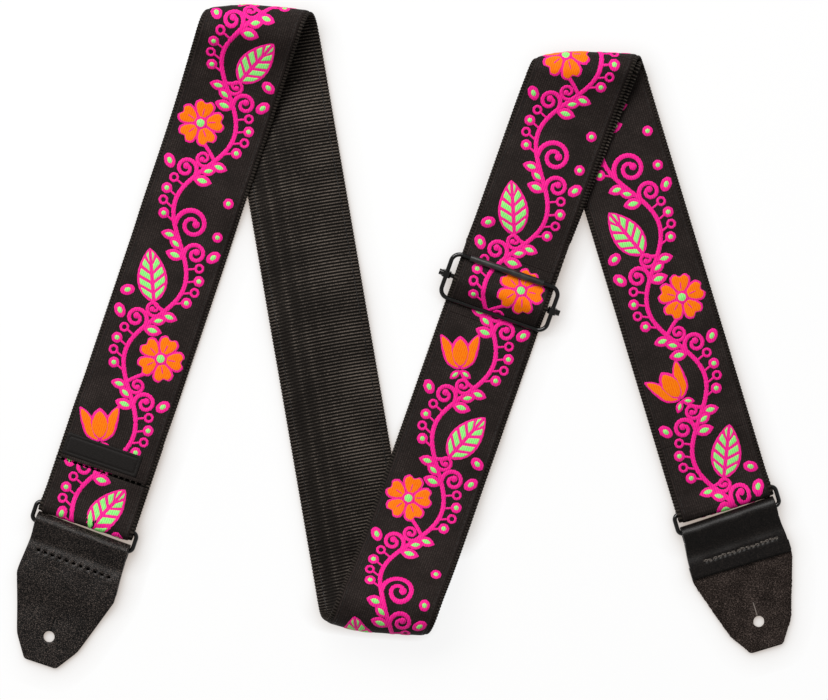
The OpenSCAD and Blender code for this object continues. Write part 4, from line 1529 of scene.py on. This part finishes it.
@cache
def row_tree():
    """Sews a row of stitches between two places, each laid on the leather below it."""
    tree, given, result = node_tree("Stitch row", {
        "Object": "Leather", "Vector": "Start, End", "Int": "Count", "Float": "Turn, Uneven",
        "Material": "Thread"})
    line = made(tree, "GeometryNodeMeshLine", {"Count": given["Count"], "Start Location": given["Start"],
                                               "Offset": given["End"]}, mode="END_POINTS")
    stray = made(tree, "FunctionNodeRandomValue", {"Min": (-1.0, -1.0, 0.0), "Max": (1.0, 1.0, 0.0),
                                                   "Seed": 4}, data_type="FLOAT_VECTOR")
    stray = vectors(tree, "SCALE", stray, given["Uneven"])
    strayed = made(tree, "GeometryNodeSetPosition", {"Geometry": line, "Offset": stray})
    above = vectors(tree, "ADD", made(tree, "GeometryNodeInputPosition"), (0.0, 0.0, 0.05))
    hit = add(tree, "GeometryNodeRaycast", {
        "Target Geometry": object_info(tree, given["Leather"]), "Source Position": above,
        "Ray Direction": (0.0, 0.0, -1.0), "Ray Length": 0.2}).outputs["Hit Position"]
    down = made(tree, "GeometryNodeSetPosition", {"Geometry": strayed, "Position": hit})
    turn = add(tree, "FunctionNodeRandomValue", {"Min": -0.25, "Max": 0.25, "Seed": 9},
               data_type="FLOAT").outputs[1]
    turn = maths(tree, "MULTIPLY", turn, maths(tree, "MULTIPLY", given["Uneven"], 1 / UNEVEN))
    spin = combined(tree, z=maths(tree, "ADD", given["Turn"], turn))
    sewn = made(tree, "GeometryNodeInstanceOnPoints", {"Points": down, "Instance": given["Geometry"],
                                                       "Rotation": spin})
    dressed = made(tree, "GeometryNodeSetMaterial", {0: realized(tree, sewn), "Material": given["Thread"]})
    tree.links.new(dressed, result[0])
    return tree


def button_hole(side):
    return next(m["pos_m"] for m in frame["record"]["mounts"] if m["name"] == "button_hole_" + side)


def tab_axes(side):
    """The tab's own frame: the ring's bar, the way to its tip and the way across it."""
    joint = next(j for j in frame["joints"] if j["name"] == side + "_tab_turn")
    bar = Vector(joint["pos_m"])
    across = Vector(joint["axis"]).normalized()
    along = across.cross(Vector((0, 0, 1)))
    if (Vector(button_hole(side)) - bar).dot(along) < 0:
        along = -along
    return bar, along, across


class STRAP_OT_tabs(Operator):
    """Makes the two leather tabs, pressed in along their stitches, and sews their rows"""

    bl_idname = "strap.tabs"
    bl_label = "Leather tabs"

    def execute(self, context):
        for side in ("left", "right"):
            piece = self.shaped(side)
            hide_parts("tab_" + side)
            row = self.stitch_row(side, piece)
            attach(piece, side + "_tab")
            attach(row, side + "_tab")
        return {"FINISHED"}

    def shaped(self, side):
        """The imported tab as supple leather: soft edges, a hollow before the stitches, a pressed row and
        a slit that closes on itself. u runs along the tab from the ring's bar and v across it, in mm."""
        left = side == "left"
        bar, along, across = (np.array(v) for v in tab_axes(side))

        def in_tab(places):
            """Millimetres along and across the tab of places in metres."""
            return (places - bar) @ along / MM, (places - bar) @ across / MM

        hole_u, hole_v = in_tab(np.array(button_hole(side)))
        ends = (in_tab(np.array(seen_at(f"{side} tab row {end}", frame["nodes"]["tab_" + side])))
                for end in ("start", "end"))
        (u_a, v_a), (u_b, v_b) = sorted(ends, key=lambda p: p[1])
        mesh = welded("tab_" + side)
        slit_half, slit_reach = 0.6, 14
        for vert in mesh.verts:
            u, v = in_tab(np.array(vert.co))
            if abs(v - hole_v) < slit_half and 0 < hole_u - u < slit_reach:
                vert.co -= Vector(across) * (v - hole_v) * MM
        piece = object_of(mesh, "tab_leather_" + side)
        remesh = piece.modifiers.new("leather", "REMESH")
        remesh.mode = "VOXEL"
        remesh.voxel_size = VOXEL
        data = finished(piece)
        co = read(data.vertices, "co")
        u, v = in_tab(co)
        v = v - hole_v
        # The leather widens evenly after its fold and leans out at the corner away from the strap.
        outer = v * (1 if across[0] > 0 else -1) * (-1 if left else 1)
        co += np.outer(v * (self.fuller(u, v, *((9, 18) if left else (3, 15))) - 1) * MM, across)
        lean = 1.7 * np.clip((outer + 25) / 50, 0, 1) ** 1.3 * np.clip((12 - u) / 13, 0, 1) ** 1.5
        co -= np.outer(lean * MM, along)
        v = in_tab(co)[1]
        # It is pressed in along the row, deepest at the stitches, hollow before it, and full at the fold.
        row = u_a + (v - v_a) * (u_b - u_a) / (v_b - v_a)
        upper = np.clip(co[:, 2] / MM / 2, 0, 1)
        inside = np.clip((v - v_a + 1.5) / 2, 0, 1) * np.clip((v_b + 1.5 - v) / 2, 0, 1)
        long = np.hypot(u_b - u_a, v_b - v_a)
        pitch = long / max(1, self.stitches(side, long) - 1)
        pit = 0.5 + 0.5 * np.cos(2 * math.pi * (v - v_a) * long / (v_b - v_a) / pitch)
        press = (0.7 * pit - 0.1 if left else 0.15 + 0.5 * pit) * np.exp(-((u - row) / 0.95) ** 2) * inside
        hollow = 0.9 * np.exp(-((u - row + 5.0) / 3.6) ** 2)
        crown = 0.6 * np.exp(-((u - (0.5 if left else 2.0)) / 2.6) ** 2)
        wave = 0.16 * np.sin(0.34 * v + 0.9 * np.sin(0.21 * u)) * np.sin(0.17 * u + 1.0)
        nick = 0.35 * np.exp(-((v - hole_v) / 0.5) ** 2) * (u < hole_u) * (u > hole_u - SLIT_LENGTH)
        co[:, 2] += upper * (crown - press - hollow + wave - nick) * MM * (co[:, 2] > 0.4 * MM)
        # The suede's edge is frayed.
        if not left:
            rim = np.clip(1 - np.abs(read(data.vertices, "normal")[:, 2]), 0, 1)
            fray = np.sin(5.1 * u + 3.7 * np.sin(2.3 * v)) * np.sin(4.3 * v + 2.9 * np.sin(1.9 * u))
            away = co - bar - np.outer(u * MM, along)
            away /= np.linalg.norm(away, axis=1)[:, None] + 1e-9
            co += (0.3 * MM * fray * rim * (u > 27))[:, None] * away
        data.vertices.foreach_set("co", co.ravel())
        data.update()
        data.materials.clear()
        data.materials.append(material("grain" if left else "smooth grain"))
        data.materials.append(material("suede"))
        map_points(data, "UVMap", np.stack([u - hole_u, v - hole_v], axis=1) / LEATHER_MAP + 0.5)
        if not left:
            flesh = (in_tab(read(data.polygons, "center"))[0] > FLAP_END) & (
                read(data.polygons, "normal")[:, 2] > -0.6)
            data.polygons.foreach_set("material_index", flesh.astype(np.int32))
        data.shade_smooth()
        return piece

    @staticmethod
    def stitches(side, long):
        """How many stitches fit a row of a length in mm: the right tab's are tangled and lie closer."""
        spacing = settings("leather").stitch / MM / (1.0 if side == "left" else 1.5)
        return max(2, round(long / spacing))

    @staticmethod
    def fuller(u, v, start, run):
        """How much wider the leather gets between the fold and its full width, so that no step shows."""
        bins = np.round(u * 2).astype(int)
        wide = {b: np.abs(v[bins == b]).max() for b in range(2, 58)}
        narrow, full = wide[6], wide[54]
        ease = np.clip((u - start) / run, 0, 1)
        wanted = narrow + (full - narrow) * ease * ease * (3 - 2 * ease)
        now = np.array([wide.get(b, 0.0) for b in bins])
        return np.where((now > 0) & (u > 3) & (u < start + run), wanted / np.maximum(now, 1.0), 1.0)

    @classmethod
    def stitch_row(cls, side, leather):
        """The row of stitches between two image points."""
        first, last = (seen_at(f"{side} tab row {end}", leather) for end in ("start", "end"))
        way = last - first
        _, along, across = tab_axes(side)
        count = cls.stitches(side, math.hypot(way.dot(along), way.dot(across)) / MM)
        thread = Tile(0.35)
        if side == "left":
            thread.stroke(rounded([(-1.15, 0.0), (1.15, 0.0)]), 1.6, height=0.3, base=0.0)
        else:
            for line in ([(-1.3, -0.3), (-0.3, 0.4), (1.2, 0.1)], [(-1.0, 0.6), (0.2, -0.5), (1.1, -0.2)]):
                thread.stroke(rounded(line), 0.55, height=0.5, base=0.0)
        piece = mesh_object("tab_stitches_" + side, np.array(thread.points) * MM, thread.faces, slots=[])
        with_nodes(piece, row_tree(), {
            "Leather": leather, "Start": first, "End": last, "Count": count,
            "Turn": math.atan2(way.y, way.x), "Uneven": 0.0 if side == "left" else UNEVEN,
            "Thread": material("hole thread" if side == "left" else "worn thread")})
        return piece


class STRAP_PT_panel(Panel):
    """Lists the steps that dress the strap"""

    bl_label = "Guitar Strap"
    bl_idname = "STRAP_PT_panel"
    bl_space_type = "VIEW_3D"
    bl_region_type = "UI"
    bl_category = "Strap"

    def draw(self, context):
        for step in STEPS:
            self.layout.operator(step.bl_idname)


STEPS = [STRAP_OT_stage, STRAP_OT_cloth, STRAP_OT_figures, STRAP_OT_seams, STRAP_OT_label,
         STRAP_OT_hardware, STRAP_OT_tabs]
GROUPS = {"webbing": WebbingSettings, "ribbon": RibbonSettings, "leather": LeatherSettings,
          "hardware": HardwareSettings, "stage": StageSettings}


def register():
    for group in GROUPS.values():
        bpy.utils.register_class(group)
    for name, group in GROUPS.items():
        setattr(bpy.types.Scene, "strap_" + name, PointerProperty(type=group))
    for item in STEPS + [STRAP_PT_panel]:
        bpy.utils.register_class(item)


def unregister():
    for item in reversed(STEPS + [STRAP_PT_panel]):
        bpy.utils.unregister_class(item)
    for name in GROUPS:
        delattr(bpy.types.Scene, "strap_" + name)
    for group in reversed(list(GROUPS.values())):
        bpy.utils.unregister_class(group)


def write_points():
    """Finds, in pixels, where each thing shows in the photograph's frame; the result is neither kept nor
    written.
    """
    shown = []
    for piece in bpy.data.objects:
        if piece.type == "MESH" and not piece.hide_render and piece.name != "floor":
            shown.append(read(piece.data.vertices, "co"))
    pixels = in_picture(np.concatenate(shown))
    found = {
        "left edge": pixels[pixels[:, 0].argmin()],
        "right edge": pixels[pixels[:, 0].argmax()],
        "top edge": pixels[pixels[:, 1].argmin()],
        "bottom edge": pixels[pixels[:, 1].argmax()],
    }
    bar = read(frame["nodes"]["slider_bar"].data.vertices, "co")
    for side, sign in (("left", -1), ("right", 1)):
        found[side + " button hole"] = in_picture([button_hole(side)])[0]
        knob = bar[sign * bar[:, 0] > (sign * bar[:, 0]).max() - 3.5 * MM]
        found[f"slider {side} knob"] = in_picture([(knob.min(axis=0) + knob.max(axis=0)) / 2])[0]
    half = settings("webbing").width / 2 / MM
    for end, x in (("left", -half), ("right", half)):
        found[f"cross seam {end} end"] = in_picture(course.at([[x, DENTS[0][0], 1.0]]))[0]
    buckle = course.at([[course.buckle_x, course.buckles[0][0], -1.0]])
    found["buckle in second leg"] = in_picture(buckle)[0]
    patch = bpy.data.objects["label_patch"].data.vertices
    found["label"] = in_picture([sum((v.co for v in patch), Vector()) / len(patch)])[0]
    for side in ("left", "right"):
        row = read(bpy.data.objects["tab_stitches_" + side].data.vertices, "co")
        found[side + " tab row start"] = in_picture([row[row[:, 0].argmin()]])[0]
        found[side + " tab row end"] = in_picture([row[row[:, 0].argmax()]])[0]


def main():
    global course
    register()
    course = Course()
    for step in STEPS:
        area, name = step.bl_idname.split(".")
        getattr(getattr(bpy.ops, area), name)()
    write_points()


if __name__ == "__main__":
    main()
